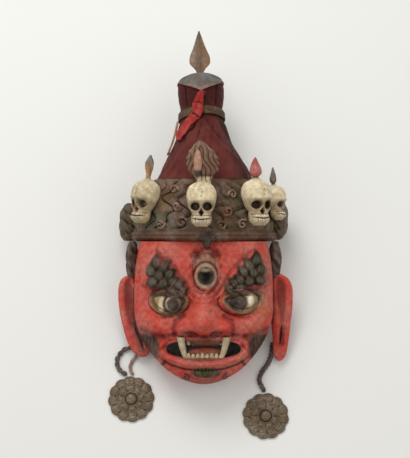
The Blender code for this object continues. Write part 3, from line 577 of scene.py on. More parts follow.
def fine_carving(x, y):
    """What a smaller gouge adds: lids, curls, wrinkles and lines."""
    side = np.abs(x)
    made = np.zeros(np.shape(x))
    for outline in EYES.values():
        lid = rounded(outline)
        made += 0.9 * smooth_step(1 - to_path(x, y, lid + lid[:1]) / 1.2)
        made -= 0.5 * smooth_step(1 - np.abs(depth_in(x, y, lid) - 1.3) / 0.7)
    for at_x, at_y, wide, tall in IRISES.values():
        made += 0.5 * cap(x, y, at_x, at_y, wide, tall)
    made += 1.2 * smooth_step(tufts(x, y, 1.3) / 0.5) + 1.3 * tufts(x, y)
    oval = rounded(THIRD_OVAL)
    made += 0.9 * smooth_step(1 - to_path(x, y, oval + oval[:1]) / 1.1)
    made -= 0.6 * smooth_step(1 - np.abs(np.hypot((x - 0.9) / 5.3, (y - 47.6) / 6.2) - 1.0) / 0.14)
    for path in SCROLLS:
        made += 1.1 * stroke(x, y, path, 0.8)
    made -= 1.8 * cap(side, y, 4.6, 22.7, 2.5, 1.5)
    made -= 0.9 * stroke(side, y, [(2.6, 22.4), (4.8, 24.3), (7.8, 23.6)], 0.7)
    made -= 0.9 * stroke(side, y, [(8.6, 30.6), (12.4, 28.6), (13.4, 25.0), (12.6, 22.6)], 1.6)
    for up, reach in ((43.4, 2.6), (41.4, 3.4), (39.2, 4.0), (37.0, 3.6)):
        made += 0.55 * stroke(side, y, [(0, up - 0.5), (reach * 0.6, up), (reach, up + 0.9)], 0.8)
    made -= 0.9 * stroke(side, y, [(12.8, 22.4), (16.5, 21.6), (22.0, 22.4), (27.0, 24.6)], 1.4)
    made -= 0.5 * stroke(side, y, [(14.0, 31.0), (19.0, 29.8), (24.4, 32.0)], 1.4)
    for hair in JAW_HAIRS:
        made += 0.6 * stroke(side, y, hair, 0.5)
    made -= 0.9 * stroke(side, y, [(0, 7.4), (8, 7.8), (14.4, 9.4), (19.2, 12.4)], 0.7)
    for k in range(7):
        made += 0.7 * stroke(x, y, [(-4.8 + 1.6 * k, 8.6), (-4.2 + 1.4 * k, 5.6), (-2.4 + 0.8 * k, 3.8)], 0.5)
    for which in (-1, 1):
        made += 0.9 * stroke(x, y, curl(which * 9.6, 3.6, 1.7, 90, 1.0, which), 0.7)
        made += 0.7 * stroke(x, y, [(which * 17.4, 10.4), (which * 19.4, 7.8), (which * 22.6, 6.6)], 0.7)
    made += 0.14 * np.sin(1.9 * x + 0.7 * np.sin(0.8 * y)) * np.sin(1.3 * y + 0.5 * np.sin(1.1 * x))
    made += 0.10 * np.sin(0.63 * x + 1.2) * np.sin(0.51 * y + 0.4)
    return made


def plan_radius(angle, inset):
    """How far the face's outline is from its centre, in this direction."""
    across = np.abs(np.cos(angle)) / (HALF_WIDTH - inset)
    upper = np.sin(angle) > 0
    reach = np.where(upper, UPPER_REACH, LOWER_REACH) - inset
    square = np.where(upper, UPPER_SQUARE, JAW_SQUARE)
    return (across**square + (np.abs(np.sin(angle)) / reach) ** square) ** (-1 / square)


def dome(share, y, inset):
    """The face's plain depth at a share of its outline's radius, and its rise from nought to one."""
    rise = (1 - np.clip(share, 0, 1) ** DOME_SQUARE) ** (1 / DOME_SQUARE)
    edge = EDGE_AT_CHIN + (EDGE_AT_TOP - EDGE_AT_CHIN) * y / (CENTRE + UPPER_REACH)
    return edge + (DOME - inset) * rise, rise


def shell_surface(u, v, inset, carved):
    """A point of the face over the square (u, v), both from -1 to 1."""
    across = u * np.sqrt(1 - v * v / 2)
    up = v * np.sqrt(1 - u * u / 2)
    share = np.clip(np.hypot(across, up), 0, 1)
    angle = np.arctan2(up, across)
    share = 0.5 * share + 0.5 * np.sin(share * math.pi / 2)
    radius = plan_radius(angle, inset) * share
    x = radius * np.cos(angle)
    y = CENTRE + radius * np.sin(angle)
    z, rise = dome(share, y, inset)
    if carved:
        z = z + (carving(x, y) + fine_carving(x, y)) * smooth_step(rise * 3.0)
    return x, y, z


def face_depth(x, y):
    """The depth of the broad carved surface at a point of the plan."""
    angle = math.atan2(y - CENTRE, x)
    share = math.hypot(x, y - CENTRE) / float(plan_radius(angle, 0.0))
    return float(dome(share, y, 0.0)[0] + carving(np.float64(x), np.float64(y)))


def shell(name, cells, inset, carved, below):
    """The face's dome and its side wall down to the ground, or this far below it."""
    piece = rolled(name, cells, cells, lambda u, v: shell_surface(2 * u - 1, 2 * v - 1, inset, carved),
                   closed=False, merged=False)
    bpy.ops.object.mode_set(mode="EDIT")
    bpy.ops.mesh.select_mode(type="EDGE")
    for rows_left in (3, 2, 1):
        bpy.ops.mesh.select_all(action="DESELECT")
        bpy.ops.mesh.select_non_manifold()
        bpy.ops.mesh.extrude_edges_move()
        bpy.ops.object.mode_set(mode="OBJECT")
        points = numbers(piece.data)
        chosen = np.empty(len(points), bool)
        piece.data.vertices.foreach_get("select", chosen)
        ground = -points[chosen, 1] * math.tan(LEAN) - below
        points[chosen, 2] += (ground - points[chosen, 2]) / rows_left
        piece.data.vertices.foreach_set("co", points.ravel())
        bpy.ops.object.mode_set(mode="EDIT")
    bpy.ops.mesh.edge_face_add()
    bpy.ops.mesh.select_all(action="SELECT")
    bpy.ops.mesh.normals_make_consistent(inside=False)
    bpy.ops.object.mode_set(mode="OBJECT")
    return piece


def combine(piece, other, how="DIFFERENCE"):
    """Cuts a closed shape from a piece, or joins it on, and removes it."""
    step = piece.modifiers.new(how.lower(), "BOOLEAN")
    step.operation = how
    step.solver = "MANIFOLD"
    step.object = other
    bpy.context.view_layer.objects.active = piece
    bpy.ops.object.modifier_apply(modifier=step.name)
    bpy.data.objects.remove(other, do_unlink=True)


def block(low, high, matrix=None):
    """A box between two corners, for a cut."""
    bpy.ops.object.select_all(action="DESELECT")
    bpy.ops.mesh.primitive_cube_add(size=1)
    made = bpy.context.object
    low, high = Vector(low), Vector(high)
    made.data.transform(Matrix.Translation((low + high) / 2) @ Matrix.Diagonal((*(high - low), 1)))
    if matrix:
        made.data.transform(matrix)
    return made


def ball(name, centre, radii, across=40, along=28, bumps=None):
    """An oval ball, its poles along y; bumps adds to its radius by the turn and the height."""

    def place(u, v):
        turn, rise = 2 * math.pi * u, math.pi * (v - 0.5)
        swell = 1.0 + (bumps(turn, rise) if bumps else 0.0) * np.cos(rise) ** 0.5
        return (centre[0] + radii[0] * swell * np.cos(rise) * np.sin(turn),
                centre[1] + radii[1] * np.sin(rise),
                centre[2] + radii[2] * swell * np.cos(rise) * np.cos(turn))

    return rolled(name, across, along, place)


def bent(at, knots, values):
    """A smooth curve through values at knots, with no overshoot at its ends."""
    knots, values = np.asarray(knots, float), np.asarray(values, float)
    slope = np.gradient(values, knots)
    step = np.diff(values) / np.diff(knots)
    flat = np.zeros(len(knots), bool)
    flat[1:-1] = step[:-1] * step[1:] <= 0
    slope[flat] = 0
    k = np.clip(np.searchsorted(knots, at, "right") - 1, 0, len(knots) - 2)
    width = knots[k + 1] - knots[k]
    t = np.clip((at - knots[k]) / width, 0, 1)
    first = (2 * t**3 - 3 * t**2 + 1) * values[k] + (t**3 - 2 * t**2 + t) * width * slope[k]
    return first + (-2 * t**3 + 3 * t**2) * values[k + 1] + (t**3 - t**2) * width * slope[k + 1]


def mouth_shape(across, up):
    """A plug in the shape of the mouth, grown by so much each way."""

    def place(u, v):
        turn = -2 * math.pi * u
        radius = (np.abs(np.cos(turn) / across) ** MOUTH_SQUARE
                  + np.abs(np.sin(turn) / up) ** MOUTH_SQUARE) ** (-1 / MOUTH_SQUARE)
        return radius * np.cos(turn), MOUTH + radius * np.sin(turn), -8 + 48 * v

    return rolled("mouth", 72, 1, place)


RED = tone(190, 70, 57)
DEEP_RED = tone(112, 28, 26)
PINK = tone(204, 98, 78)
OCHRE = tone(146, 108, 62)
CREAM = tone(206, 190, 156)
BONE = tone(180, 166, 134)
BARE_WOOD = tone(88, 62, 44)
HAIR_DARK = tone(52, 35, 28)
HAIR_LIGHT = tone(98, 82, 64)


def over(paint, mask, colour):
    """Lays a colour over the paint where the mask is."""
    mask = np.clip(mask, 0, 1)[:, None]
    return paint * (1 - mask) + np.array(colour) * mask


def first_coat(colour, count):
    """The same colour for this many points."""
    return np.tile(np.array(colour), (count, 1))


def oval(x, y, at_x, at_y, wide, tall, soft):
    """One inside an oval, with a border this soft in shares of its size."""
    return smooth_step((1 + soft - np.hypot((x - at_x) / wide, (y - at_y) / tall)) / (2 * soft))


def painted(piece, colour, gloss=0.0):
    """Stores one colour and gloss, or one for each point, on a piece."""
    count = len(piece.data.vertices)
    store(piece, "paint", np.broadcast_to(np.array(colour), (count, 3)))
    store(piece, "gloss", np.broadcast_to(np.array(gloss, float), (count,)))
    return piece


def paint_eye(paint, x, y, which):
    """One eye: a tan lid line, an olive rim, the white with a painted glint on the right eye, the dark iris
    with its ring and painted highlight, and painted shade under the upper lid.
    """
    at_x, at_y, wide, tall = IRISES[which]
    within = depth_in(x, y, rounded(EYES[which]))
    low = smooth_step((at_y + 3.5 - y) / 3.0)
    paint = over(paint, (0.25 + 0.75 * low) * smooth_step((within + 1.2) / 0.6), tone(176, 132, 102))
    paint = over(paint, smooth_step((within + 0.5) / 0.6), tone(104, 84, 52))
    paint = over(paint, smooth_step((within - 0.9) / 0.7), tone(150, 128, 86))
    # The white of the left eye; on the right eye this oval is a painted glint
    sclera_and_glint = (-18.2, 35.9, 1.5, 3.0) if which == "left" else (20.5, 37.3, 1.6, 2.8)
    paint = over(paint, smooth_step(within / 0.8) * oval(x, y, *sclera_and_glint, 0.35), CREAM)
    iris = smooth_step(within / 0.4) * oval(x, y, at_x, at_y, wide, tall, 0.10)
    paint = over(paint, iris, tone(22, 17, 14))
    # The iris's lighter ring, brighter at its upper left as a painted highlight, strongest on the left eye
    ring = np.hypot((x - at_x) / wide, (y - at_y) / tall)
    upper_left = smooth_step(0.5 + 0.7 * ((at_x - x) / wide + (y - at_y) / tall))
    ring_and_highlight = 0.9 if which == "left" else 0.2
    paint = over(paint, ring_and_highlight * (0.25 + 0.75 * upper_left) * smooth_step(1 - np.abs(ring - 0.68) / 0.17),
                 tone(176, 154, 124))
    paint = over(paint, oval(x, y, at_x + 0.2, at_y - 0.2, wide * 0.55, tall * 0.55, 0.15), tone(12, 9, 7))
    # Painted shade under the upper lid
    lid = smooth_step((within + 0.9) / 0.6) * smooth_step((1.0 - within) / 0.8)
    lid = lid * smooth_step((y - at_y - 2.2) / 1.5)
    return over(paint, 0.9 * lid, tone(46, 36, 30))


def face_paint(x, y):
    """The colour and the gloss of each point of the face's carved front."""
    side = np.abs(x)
    paint = first_coat(RED, len(x))
    paint = over(paint, 0.5 * smooth_step((y - 38) / 12), tone(190, 84, 68))
    # Darker brown along the right temple, and faintly along both sides of the forehead
    darker_temples = 0.6 * hill(x, y, 27.6, 48, 1.6, 6) + 0.25 * hill(side, y, 29.4, 54, 1.0, 8)
    paint = over(paint, darker_temples, tone(120, 74, 52))
    # Painted highlights on the nose and the tops of the cheeks
    paint = over(paint, 0.45 * hill(x, y, 1, 31, 8, 6) + 0.15 * hill(side, y, 20, 29, 6, 4), PINK)
    paint = over(paint, 0.45 * hill(x, y, 25.5, 34, 3.6, 7) + 0.35 * hill(x, y, 21, 25.6, 3, 2), OCHRE)
    # Painted shade under the chin, darker towards its bottom
    paint = over(paint, 0.75 * smooth_step((4.4 - y) / 3.4), tone(126, 46, 40))
    paint = over(paint, 0.85 * hill(x, y, 1, 10.6, 12, 1.8), tone(140, 66, 50))
    # Painted light on the turned-down sides of the jaw and on the upper lip under the nose
    paint = over(paint, 0.5 * hill(side, y, 17.5, 11.5, 3.5, 3.5) + 0.6 * hill(x, y, 1, 21.2, 9, 1.0), PINK)
    paint = over(paint, 0.4 * hill(side, y, 9.0, 24.4, 2.4, 1.8), tone(120, 40, 34))
    for path, half, strength in (
        ([(12.8, 22.2), (16.5, 21.2), (22.0, 22.0), (27.4, 24.4)], 2.6, 0.8),
        ([(9.0, 30.8), (12.4, 28.6), (13.2, 25.0), (12.0, 22.8)], 2.0, 0.6),
        ([(0.0, 22.0), (5.2, 22.8), (9.6, 22.4)], 1.8, 0.8),
        ([(5.0, 36.4), (8.2, 33.8), (10.4, 31.8)], 2.0, 0.35),
        ([(0, 7.6), (8, 8.0), (14.4, 9.6), (19.4, 12.6)], 1.6, 0.6),
        ([(0, 2.6), (4.2, 3.6), (7.0, 5.8)], 0.8, 0.75),
    ):
        paint = over(paint, strength * stroke(side, y, path, half), DEEP_RED)
    recess = [(19.0, 21.2), (27.6, 23.6), (31.0, 18.4), (29.0, 10.6), (23.0, 9.2), (19.4, 13.0)]
    paint = over(paint, smooth_step(depth_in(side, y, rounded(recess)) / 2.4 + 0.5), tone(76, 38, 26))
    for hair in JAW_HAIRS:
        paint = over(paint, 0.6 * stroke(side, y, hair, 0.9), tone(42, 36, 24))
    paint = over(paint, 0.6 * smooth_step(tufts(x, y, 1.5) / 0.4), tone(110, 66, 40))
    paint = over(paint, smooth_step(tufts(x, y, 1.3) / 0.4), tone(30, 25, 19))
    # Painted shadow under the brows, along the top of each eye
    for lid in ([(-22, 41.2), (-15, 40.6), (-8, 39.4)], [(9.4, 39.8), (15.5, 41.3), (23, 42.0)]):
        paint = over(paint, 0.85 * stroke(x, y, lid, 2.0), tone(44, 32, 24))
    crest = tufts(x, y)
    paint = over(paint, smooth_step((crest - 0.30) / 0.45), tone(54, 46, 33))
    # Painted highlights on the tops of the brows' tufts
    paint = over(paint, 0.6 * smooth_step((crest - 0.70) / 0.25), tone(94, 90, 68))
    paint = over(paint, 0.8 * hill(x, y, -18.8, 54.8, 1.5, 1.6), tone(140, 58, 60))
    for which in EYES:
        paint = paint_eye(paint, x, y, which)
    # A painted glint on the right eye
    paint = over(paint, oval(x, y, 20.6, 37.6, 0.9, 1.5, 0.4), tone(232, 226, 208))
    pink_lid = [(15.6, 42.2), (20.6, 42.6), (26.4, 41.6)]
    paint = over(paint, 0.7 * stroke(x, y, pink_lid, 0.8), tone(156, 96, 82))
    within = depth_in(x, y, rounded(THIRD_OVAL))
    arch = smooth_step(within / 0.8 + 0.5) * smooth_step((y - 50.4) / 2)
    paint = over(paint, 0.8 * arch, tone(170, 122, 96))
    paint = over(paint, smooth_step(1 - np.abs(within) / 0.8) * smooth_step((1.6 - x) / 2.4), DEEP_RED)
    far_line = smooth_step(1 - np.abs(within) / 0.7) * smooth_step((x - 2.6) / 3)
    paint = over(paint, 0.5 * far_line, tone(150, 60, 50))
    paint = over(paint, 0.8 * hill(x, y, 1.0, 54.6, 3.6, 1.8), tone(132, 106, 88))
    paint = over(paint, oval(x, y, *THIRD_EYE[:2], 5.0, 5.4, 0.10), tone(172, 140, 116))
    paint = over(paint, oval(x, y, *THIRD_EYE, 0.10), tone(48, 39, 30))
    paint = over(paint, oval(x, y, THIRD_EYE[0], THIRD_EYE[1] - 0.2, 2.0, 2.1, 0.2), tone(22, 18, 15))
    # A painted highlight on the top of the third eye
    paint = over(paint, 0.8 * oval(x, y, 0.8, 50.6, 2.0, 0.7, 0.6), tone(150, 136, 112))
    for path in SCROLLS:
        paint = over(paint, 0.95 * stroke(x, y, path, 1.1), tone(112, 34, 32))
    patch = oval(x, y, 1.0, 6.4, 6.4, 2.5, 0.25)
    paint = over(paint, patch, tone(60, 48, 30))
    paint = over(paint, 0.8 * oval(x, y, 1.0, 6.5, 4.2, 1.5, 0.4), tone(84, 82, 38))
    for which in (-1, 1):
        chin_curl = curl(which * 8.8 + 1, 3.8, 1.7, 90, 1.0, which)
        paint = over(paint, stroke(x, y, chin_curl, 1.0), tone(64, 34, 28))
        beard = [(which * 16.4, 11.0), (which * 18.6, 8.6), (which * 21.6, 7.4)]
        paint = over(paint, stroke(x, y, beard, 1.3), tone(50, 36, 24))
    rim = np.hypot(x / (MOUTH_HALF_WIDTH + 1.0), (y - MOUTH) / (MOUTH_HALF_HEIGHT + 1.0))
    paint = over(paint, 0.75 * smooth_step((1.06 - rim) / 0.12), tone(104, 32, 28))
    paint = over(paint, 0.5 * smooth_step(1 - np.abs(y - 10.2) / 2.0) * smooth_step((14 - side) / 3), PINK)
    gloss = np.zeros(len(x))
    for at in (*IRISES.values(), THIRD_EYE):
        gloss = np.maximum(gloss, oval(x, y, at[0], at[1], at[2] * 1.5, at[3] * 1.2, 0.2))
    return paint, gloss


FACE_CELLS = 236
face = shell("mask_face", FACE_CELLS, 0.0, True, 2.0)
x, y, z = numbers(face.data).T
painted(face, *face_paint(x, y))
combine(face, painted(shell("hollow", 40, FACE_WALL, False, 6.5), BARE_WOOD))
combine(face, painted(mouth_shape(MOUTH_HALF_WIDTH, MOUTH_HALF_HEIGHT), tone(86, 34, 28)))

# The ears are carved in one with the face: long lobes with a rolled rim, a hollow inside it and a
# slot for the pendant's tie. The slot slants through the wood, so that it looks dark from the front.
# Each ear and slot: a path from the top down and its half width at each of the path's points
EARS = {
    "left": ([(-33.0, 47.0), (-34.4, 43.0), (-34.2, 35.5), (-32.6, 27.5), (-29.6, 19.0), (-26.2, 11.0)],
             [1.6, 3.9, 4.2, 4.5, 5.0, 3.2]),
    "right": ([(33.0, 47.6), (35.0, 43.0), (35.3, 35.5), (34.9, 26.5), (34.7, 17.5), (34.0, 9.0)],
              [1.8, 4.6, 4.9, 4.4, 3.5, 2.5]),
}
SLOTS = {
    "left": ([(-31.8, 25.4), (-30.8, 22.0), (-29.0, 17.8), (-27.8, 14.0)], [0.3, 0.7, 0.7, 0.3]),
    "right": ([(35.9, 25.0), (35.6, 21.0), (35.2, 16.8)], [0.25, 0.5, 0.25]),
}
EAR_BACK = -1.8
EAR_THICK = 2.4
SLOT_SLANT = 0.7


def band_along(name, path, halves, low, thick, relief=None, across=40, along=60):
    """A closed band of changing width along a path in x and y, with relief on its front."""
    knots = np.linspace(0, 1, len(path))
    xs, ys = zip(*path)

    def place(u, v):
        x, y, half = bent(v, knots, xs), bent(v, knots, ys), bent(v, knots, halves)
        half = half * np.sqrt(np.clip(1.02 - (np.clip((v - 0.9) / 0.1, 0, 1)) ** 2, 0, 1))
        step = 0.002
        dx = bent(np.clip(v + step, 0, 1), knots, xs) - bent(np.clip(v - step, 0, 1), knots, xs)
        dy = bent(np.clip(v + step, 0, 1), knots, ys) - bent(np.clip(v - step, 0, 1), knots, ys)
        length = np.hypot(dx, dy)
        turn = 2 * math.pi * u
        side = np.sign(np.cos(turn)) * np.abs(np.cos(turn)) ** 0.6
        rise = np.sign(np.sin(turn)) * np.abs(np.sin(turn)) ** 0.6
        z = low + thick * (0.5 + 0.5 * rise)
        if relief:
            z = z + relief(side, v) * (rise > 0) * np.abs(rise)
        return x + dy / length * half * side, y - dx / length * half * side, z

    return rolled(name, across, along, place)


def ear_relief(outer):
    """The rim and the hollow of an ear whose outer edge is on this side."""

    def relief(side, v):
        rim = hill(side * outer, v, 0.60, 0.35, 0.30, 0.42)
        bowl = hill(side * outer, v, -0.15, 0.26, 0.40, 0.20)
        lobe = hill(side * outer, v, 0.0, 0.80, 0.5, 0.16)
        return 0.9 * rim - 0.7 * bowl + 0.5 * lobe + 0.4 * hill(side * outer, v, -0.45, 0.62, 0.3, 0.2)

    return relief


for which, (path, halves) in EARS.items():
    sign = -1 if which == "left" else 1
    ear = band_along("ear", path, halves, EAR_BACK, EAR_THICK, ear_relief(-sign))
    x, y, z = numbers(ear.data).T
    paint = first_coat(RED, len(x))
    # Painted shade in the ear's hollow
    paint = over(paint, 0.3 * hill(x, y, sign * 34.0, 37.4, 1.6, 4.2), DEEP_RED)
    # Painted shade along the join of the ear and the cheek
    ear_join_shade = [(sign * 30.8, 40.5), (sign * 31.0, 30.0), (sign * 29.6, 22.5)]
    paint = over(paint, 0.9 * stroke(x, y, ear_join_shade, 2.0), tone(84, 34, 26))
    # Painted shade round the slot; the slot's cut walls are painted dark as shade too
    slot_edge = to_path(x, y, SLOTS[which][0])
    paint = over(paint, 0.8 * smooth_step((1.7 - slot_edge) / 1.2), tone(92, 28, 28))
    paint = over(paint, 0.5 * hill(x, y, sign * 36.4, 31, 1.2, 7), tone(208, 108, 88))
    painted(ear, paint)
    slot = band_along("slot", *SLOTS[which], EAR_BACK - 4, 12, across=24, along=16)
    for point in slot.data.vertices:
        point.co.x -= sign * SLOT_SLANT * (point.co.z - EAR_BACK - 1.5)
    combine(ear, painted(slot, tone(74, 22, 22)))
    combine(face, ear, "UNION")
    # The ear's root, in the join with the face, is painted darker red as shade
    root = ball("root", (sign * 31.6, 37, EAR_BACK - 0.4), (4.2, 8, 2.2))
    combine(face, painted(root, tone(140, 48, 42)), "UNION")


def lock_bumps(turn, rise):
    """The locks of hair at the temples, wound about each other."""
    return 0.12 * np.sin(5 * rise) * np.cos(turn) + 0.10 * np.sin(5 * turn + 6 * rise + np.sin(7 * rise))


for sign in (-1, 1):
    locks = ball("locks", (sign * 32.3, 54, -3.5), (2.9, 10, 5.5), 56, 60, lock_bumps)
    x, y, z = numbers(locks.data).T
    paint = first_coat(HAIR_DARK, len(x))
    paint = over(paint, 0.6 * smooth_step(0.5 + np.sin(1.3 * y + 1.1 * x + 0.7 * np.sin(z))), HAIR_LIGHT)
    combine(face, painted(locks, paint), "UNION")

# Two fangs curve down inside the lips. Eight worn teeth stand in each jaw, the upper ones nearly
# hidden, and the tongue and the palate lie behind them, all of the same wood as the face.
lip = face_depth(0, MOUTH - MOUTH_HALF_HEIGHT)
fang_depth = face_depth(0, 19) - 2.4
TOOTH_COUNT = 8
TOOTH_ROW = (-7.6, 8.6)
for sign in (-1, 1):

    def fang(u, v, sign=sign):
        turn, y = 2 * math.pi * u, 21.6 - 10.0 * v
        half = (1.75 - 0.7 * v) * np.sqrt(np.clip(1.08 - v**6, 0, 1))
        x = sign * (9.9 - 2.4 * v**1.5) + half * np.sin(turn)
        return x, y, fang_depth + half * np.cos(turn) + 0.8 * v

    combine(face, painted(rolled("fang", 20, 24, fang), BONE, 0.5), "UNION")
tooth_width = (TOOTH_ROW[1] - TOOTH_ROW[0]) / TOOTH_COUNT
tooth_foot = MOUTH - MOUTH_HALF_HEIGHT - 1.6
for i in range(TOOTH_COUNT):
    tooth_x = TOOTH_ROW[0] + (i + 0.5) * tooth_width
    tooth = ball("tooth", (tooth_x, tooth_foot + 1.5, lip - 2.7),
                 (tooth_width * 0.53, 2.2 + 0.2 * math.cos(2.3 * i), 1.15), 16, 10)
    combine(face, painted(tooth, BONE, 0.5), "UNION")
    upper = ball("upper_tooth", (tooth_x, MOUTH + MOUTH_HALF_HEIGHT - 0.9, fang_depth - 1.6),
                 (tooth_width * 0.53, 1.5 + 0.1 * math.cos(1.7 * i), 1.1), 16, 10)
    combine(face, painted(upper, tone(186, 176, 138), 0.5), "UNION")


def tongue_groove(turn, rise):
    return -0.06 * np.exp(-((np.sin(turn) / 0.15) ** 2))


for name, at, radii, colour in (
        ("tongue_root", (1.0, 11.4, lip - 4.2), (6.0, 2.6, 2.8), tone(120, 50, 38)),
        ("tongue", (1.0, 14.2, lip - 6.4), (8.4, 3.0, 3.6), tone(132, 66, 48)),
        ("palate", (1.0, 20.6, fang_depth - 1.8), (9.4, 3.2, 2.6), tone(104, 62, 42))):
    combine(face, painted(ball(name, at, radii, 40, 24, tongue_groove), colour, 0.3), "UNION")
combine(face, painted(block((-60, BAND - GAP, -80), (60, 140, 80)), BARE_WOOD))
face.data.transform(HEAD)
combine(face, painted(block((-1, -1, -1), (1, 1, 0)), BARE_WOOD))
mark_hollows(face, 7, 0.0016)

# A group for aged paint on wood: brush marks, chips down to the gesso, dirt and painted shade in the hollows,
# fine cracks
aged_group, aged_in, aged_out = new_group(
    "aged paint",
    [("Paint", "NodeSocketColor", (0.5, 0.5, 0.5, 1)), ("Under", "NodeSocketColor", (0.5, 0.4, 0.3, 1)),
     ("Dirt and shade", "NodeSocketColor", (0.05, 0.03, 0.02, 1)), ("Chips", "NodeSocketFloat", 0.5),
     ("Grime and shade", "NodeSocketFloat", 0.5), ("Rough", "NodeSocketFloat", 0.5)],
    [("Colour", "NodeSocketColor"), ("Roughness", "NodeSocketFloat"), ("Height", "NodeSocketFloat")])
t = aged_group
place = node(t, "ShaderNodeTexCoord").outputs["Object"]
hollow = node(t, "ShaderNodeAttribute", attribute_name="hollow").outputs["Fac"]
broad = noise(t, place, 24.0, 3.0)
middle = noise(t, place, 110.0, 4.0)
fine = noise(t, place, 420.0, 4.0, 0.65)
brushed = node(t, "ShaderNodeMapping", {"Vector": place, "Scale": (1.0, 0.25, 1.0)})
strokes = noise(t, brushed.outputs["Vector"], 700.0, 2.0)
cells = node(t, "ShaderNodeTexVoronoi", {"Vector": place, "Scale": 95.0}, feature="DISTANCE_TO_EDGE")
cracks = ramp(t, cells.outputs["Distance"], 0.0, 0.035, 1.0, 0.0)
cracks = maths(t, "MULTIPLY", cracks, ramp(t, broad, 0.50, 0.62))
lighter = mix(t, ramp(t, broad, 0.40, 0.66, 0.0, 0.10), aged_in.outputs["Paint"], (0.9, 0.72, 0.60, 1.0))
darker = mix(t, ramp(t, middle, 0.62, 0.38, 0.0, 0.32), lighter, (0.30, 0.16, 0.12, 1.0), "MULTIPLY")
ridge = maths(t, "MULTIPLY", hollow, -0.13)
gloss = node(t, "ShaderNodeAttribute", attribute_name="gloss").outputs["Fac"]
ridge = maths(t, "SUBTRACT", ridge, maths(t, "MULTIPLY", gloss, 1.5))
chip_here = maths(t, "ADD", maths(t, "MULTIPLY", maths(t, "ADD", fine, middle), 0.5), ridge)
chip_limit = maths(t, "SUBTRACT", 0.80, maths(t, "MULTIPLY", aged_in.outputs["Chips"], 0.2))
chipped = ramp(t, maths(t, "SUBTRACT", chip_here, chip_limit), 0.0, 0.035)
chipped_paint = mix(t, chipped, darker, aged_in.outputs["Under"])
# Dirt and painted shade: darker in the hollows and in random patches
grime_and_shade = ramp(t, maths(t, "ADD", hollow, maths(t, "MULTIPLY", middle, 0.55)), 0.28, 1.05)
grime_and_shade = maths(t, "MULTIPLY", grime_and_shade, aged_in.outputs["Grime and shade"])
dirt_shade_and_cracks = maths(t, "MAXIMUM", grime_and_shade, maths(t, "MULTIPLY", cracks, 0.55))
dirtied_and_shaded = mix(t, dirt_shade_and_cracks, chipped_paint, aged_in.outputs["Dirt and shade"])
t.links.new(dirtied_and_shaded, aged_out.inputs["Colour"])
uneven = maths(t, "MULTIPLY", maths(t, "SUBTRACT", fine, 0.5), 0.35)
roughness = maths(t, "ADD", aged_in.outputs["Rough"], uneven)
t.links.new(maths(t, "ADD", roughness, maths(t, "MULTIPLY", chipped, 0.25)), aged_out.inputs["Roughness"])
height = maths(t, "ADD", maths(t, "MULTIPLY", strokes, 0.35), maths(t, "MULTIPLY", middle, 0.8))
height = maths(t, "SUBTRACT", height, maths(t, "ADD", chipped, maths(t, "MULTIPLY", cracks, 0.8)))
t.links.new(height, aged_out.inputs["Height"])


def aged(name, under, dirt_and_shade, chips, grime_and_shade, rough, coat=0.0, metallic=0.0, colour=None, depth=0.0005):
    """A material of aged paint, of one colour or else of the colours stored on the piece."""
    made, tree, shader = material(name, metallic=metallic, Coat_Weight=coat, Coat_Roughness=0.25)
    group = node(tree, "ShaderNodeGroup", node_tree=aged_group)
    if colour:
        group.inputs["Paint"].default_value = (*colour, 1)
    else:
        paint = node(tree, "ShaderNodeAttribute", attribute_name="paint")
        tree.links.new(paint.outputs["Color"], group.inputs["Paint"])
    gloss = node(tree, "ShaderNodeAttribute", attribute_name="gloss")
    for socket, value in (("Under", (*under, 1)), ("Dirt and shade", (*dirt_and_shade, 1)), ("Chips", chips),
                          ("Grime and shade", grime_and_shade), ("Rough", rough)):
        group.inputs[socket].default_value = value
    smoother = maths(tree, "MULTIPLY", gloss.outputs["Fac"], 0.10)
    rough_here = maths(tree, "SUBTRACT", group.outputs["Roughness"], smoother)
    duller = maths(tree, "MULTIPLY", gloss.outputs["Fac"], -0.17)
    tree.links.new(maths(tree, "ADD", duller, SHINE), shader.inputs["Specular IOR Level"])
    finish_material(tree, shader, group.outputs["Colour"], rough_here, group.outputs["Height"], depth)
    return made


face_look = aged("aged_red_paint", tone(150, 100, 76), tone(66, 24, 18), 0.35, 0.60, 0.55)
finish_piece(face, "red_painted_wood", "face", look=face_look)

# The crown is carved in wood too and painted dark: combed hair over a moulded headband, with a
# tuft of curls over each ear, the stub of a lost skull and an ornament that hangs on the brow.
CROWN_WALL = 0.016 / MEASURE
CROWN_CENTRE = -19.5
CROWN_SHIFT = 9.3
CROWN_SIDES = 36
CROWN_WAVE = 0.012
# Heights and radii of the crown, its headband first
crown_shape = [(BAND, 33.0), (BAND + 1.4, 34.2), (BAND + 3.4, 34.2), (BAND + 4.6, 33.0),
               (71.0, 33.2), (77.0, 31.4), (83.0, 28.0), (88.0, 24.6), (CROWN_TOP, 22.6)]
crown_heights, crown_radii = zip(*crown_shape)


def crown_middle(y):
    return CROWN_CENTRE + CROWN_SHIFT * (y - BAND) / (CROWN_TOP - BAND)


def crown_radius(y):
    return np.interp(y, crown_heights, crown_radii)


CROWN_SCROLLS = [curl(at_x, at_y, size, start, 1.15, hand) for at_x, at_y, size, start, hand in (
    (10.4, 76.4, 2.3, 200, 1), (7.9, 70.0, 2.2, 150, -1), (-9.6, 71.4, 2.3, 30, 1),
    (-11.6, 78.6, 2.2, -20, -1), (12.6, 83.8, 2.1, 190, -1), (-13.0, 86.0, 2.0, 0, 1),
    (-19.0, 70.0, 2.0, 90, -1), (17.2, 70.6, 2.1, 60, 1))]


def crown_scrolls(turn, y):
    """The carved scrolls on the crown's front, one high along each."""
    x = crown_radius(y) * np.sin(turn)
    made = np.zeros(np.shape(x))
    for path in CROWN_SCROLLS:
        made = np.maximum(made, stroke(x, y, path, 0.95))
    return made * (np.cos(turn) > 0)


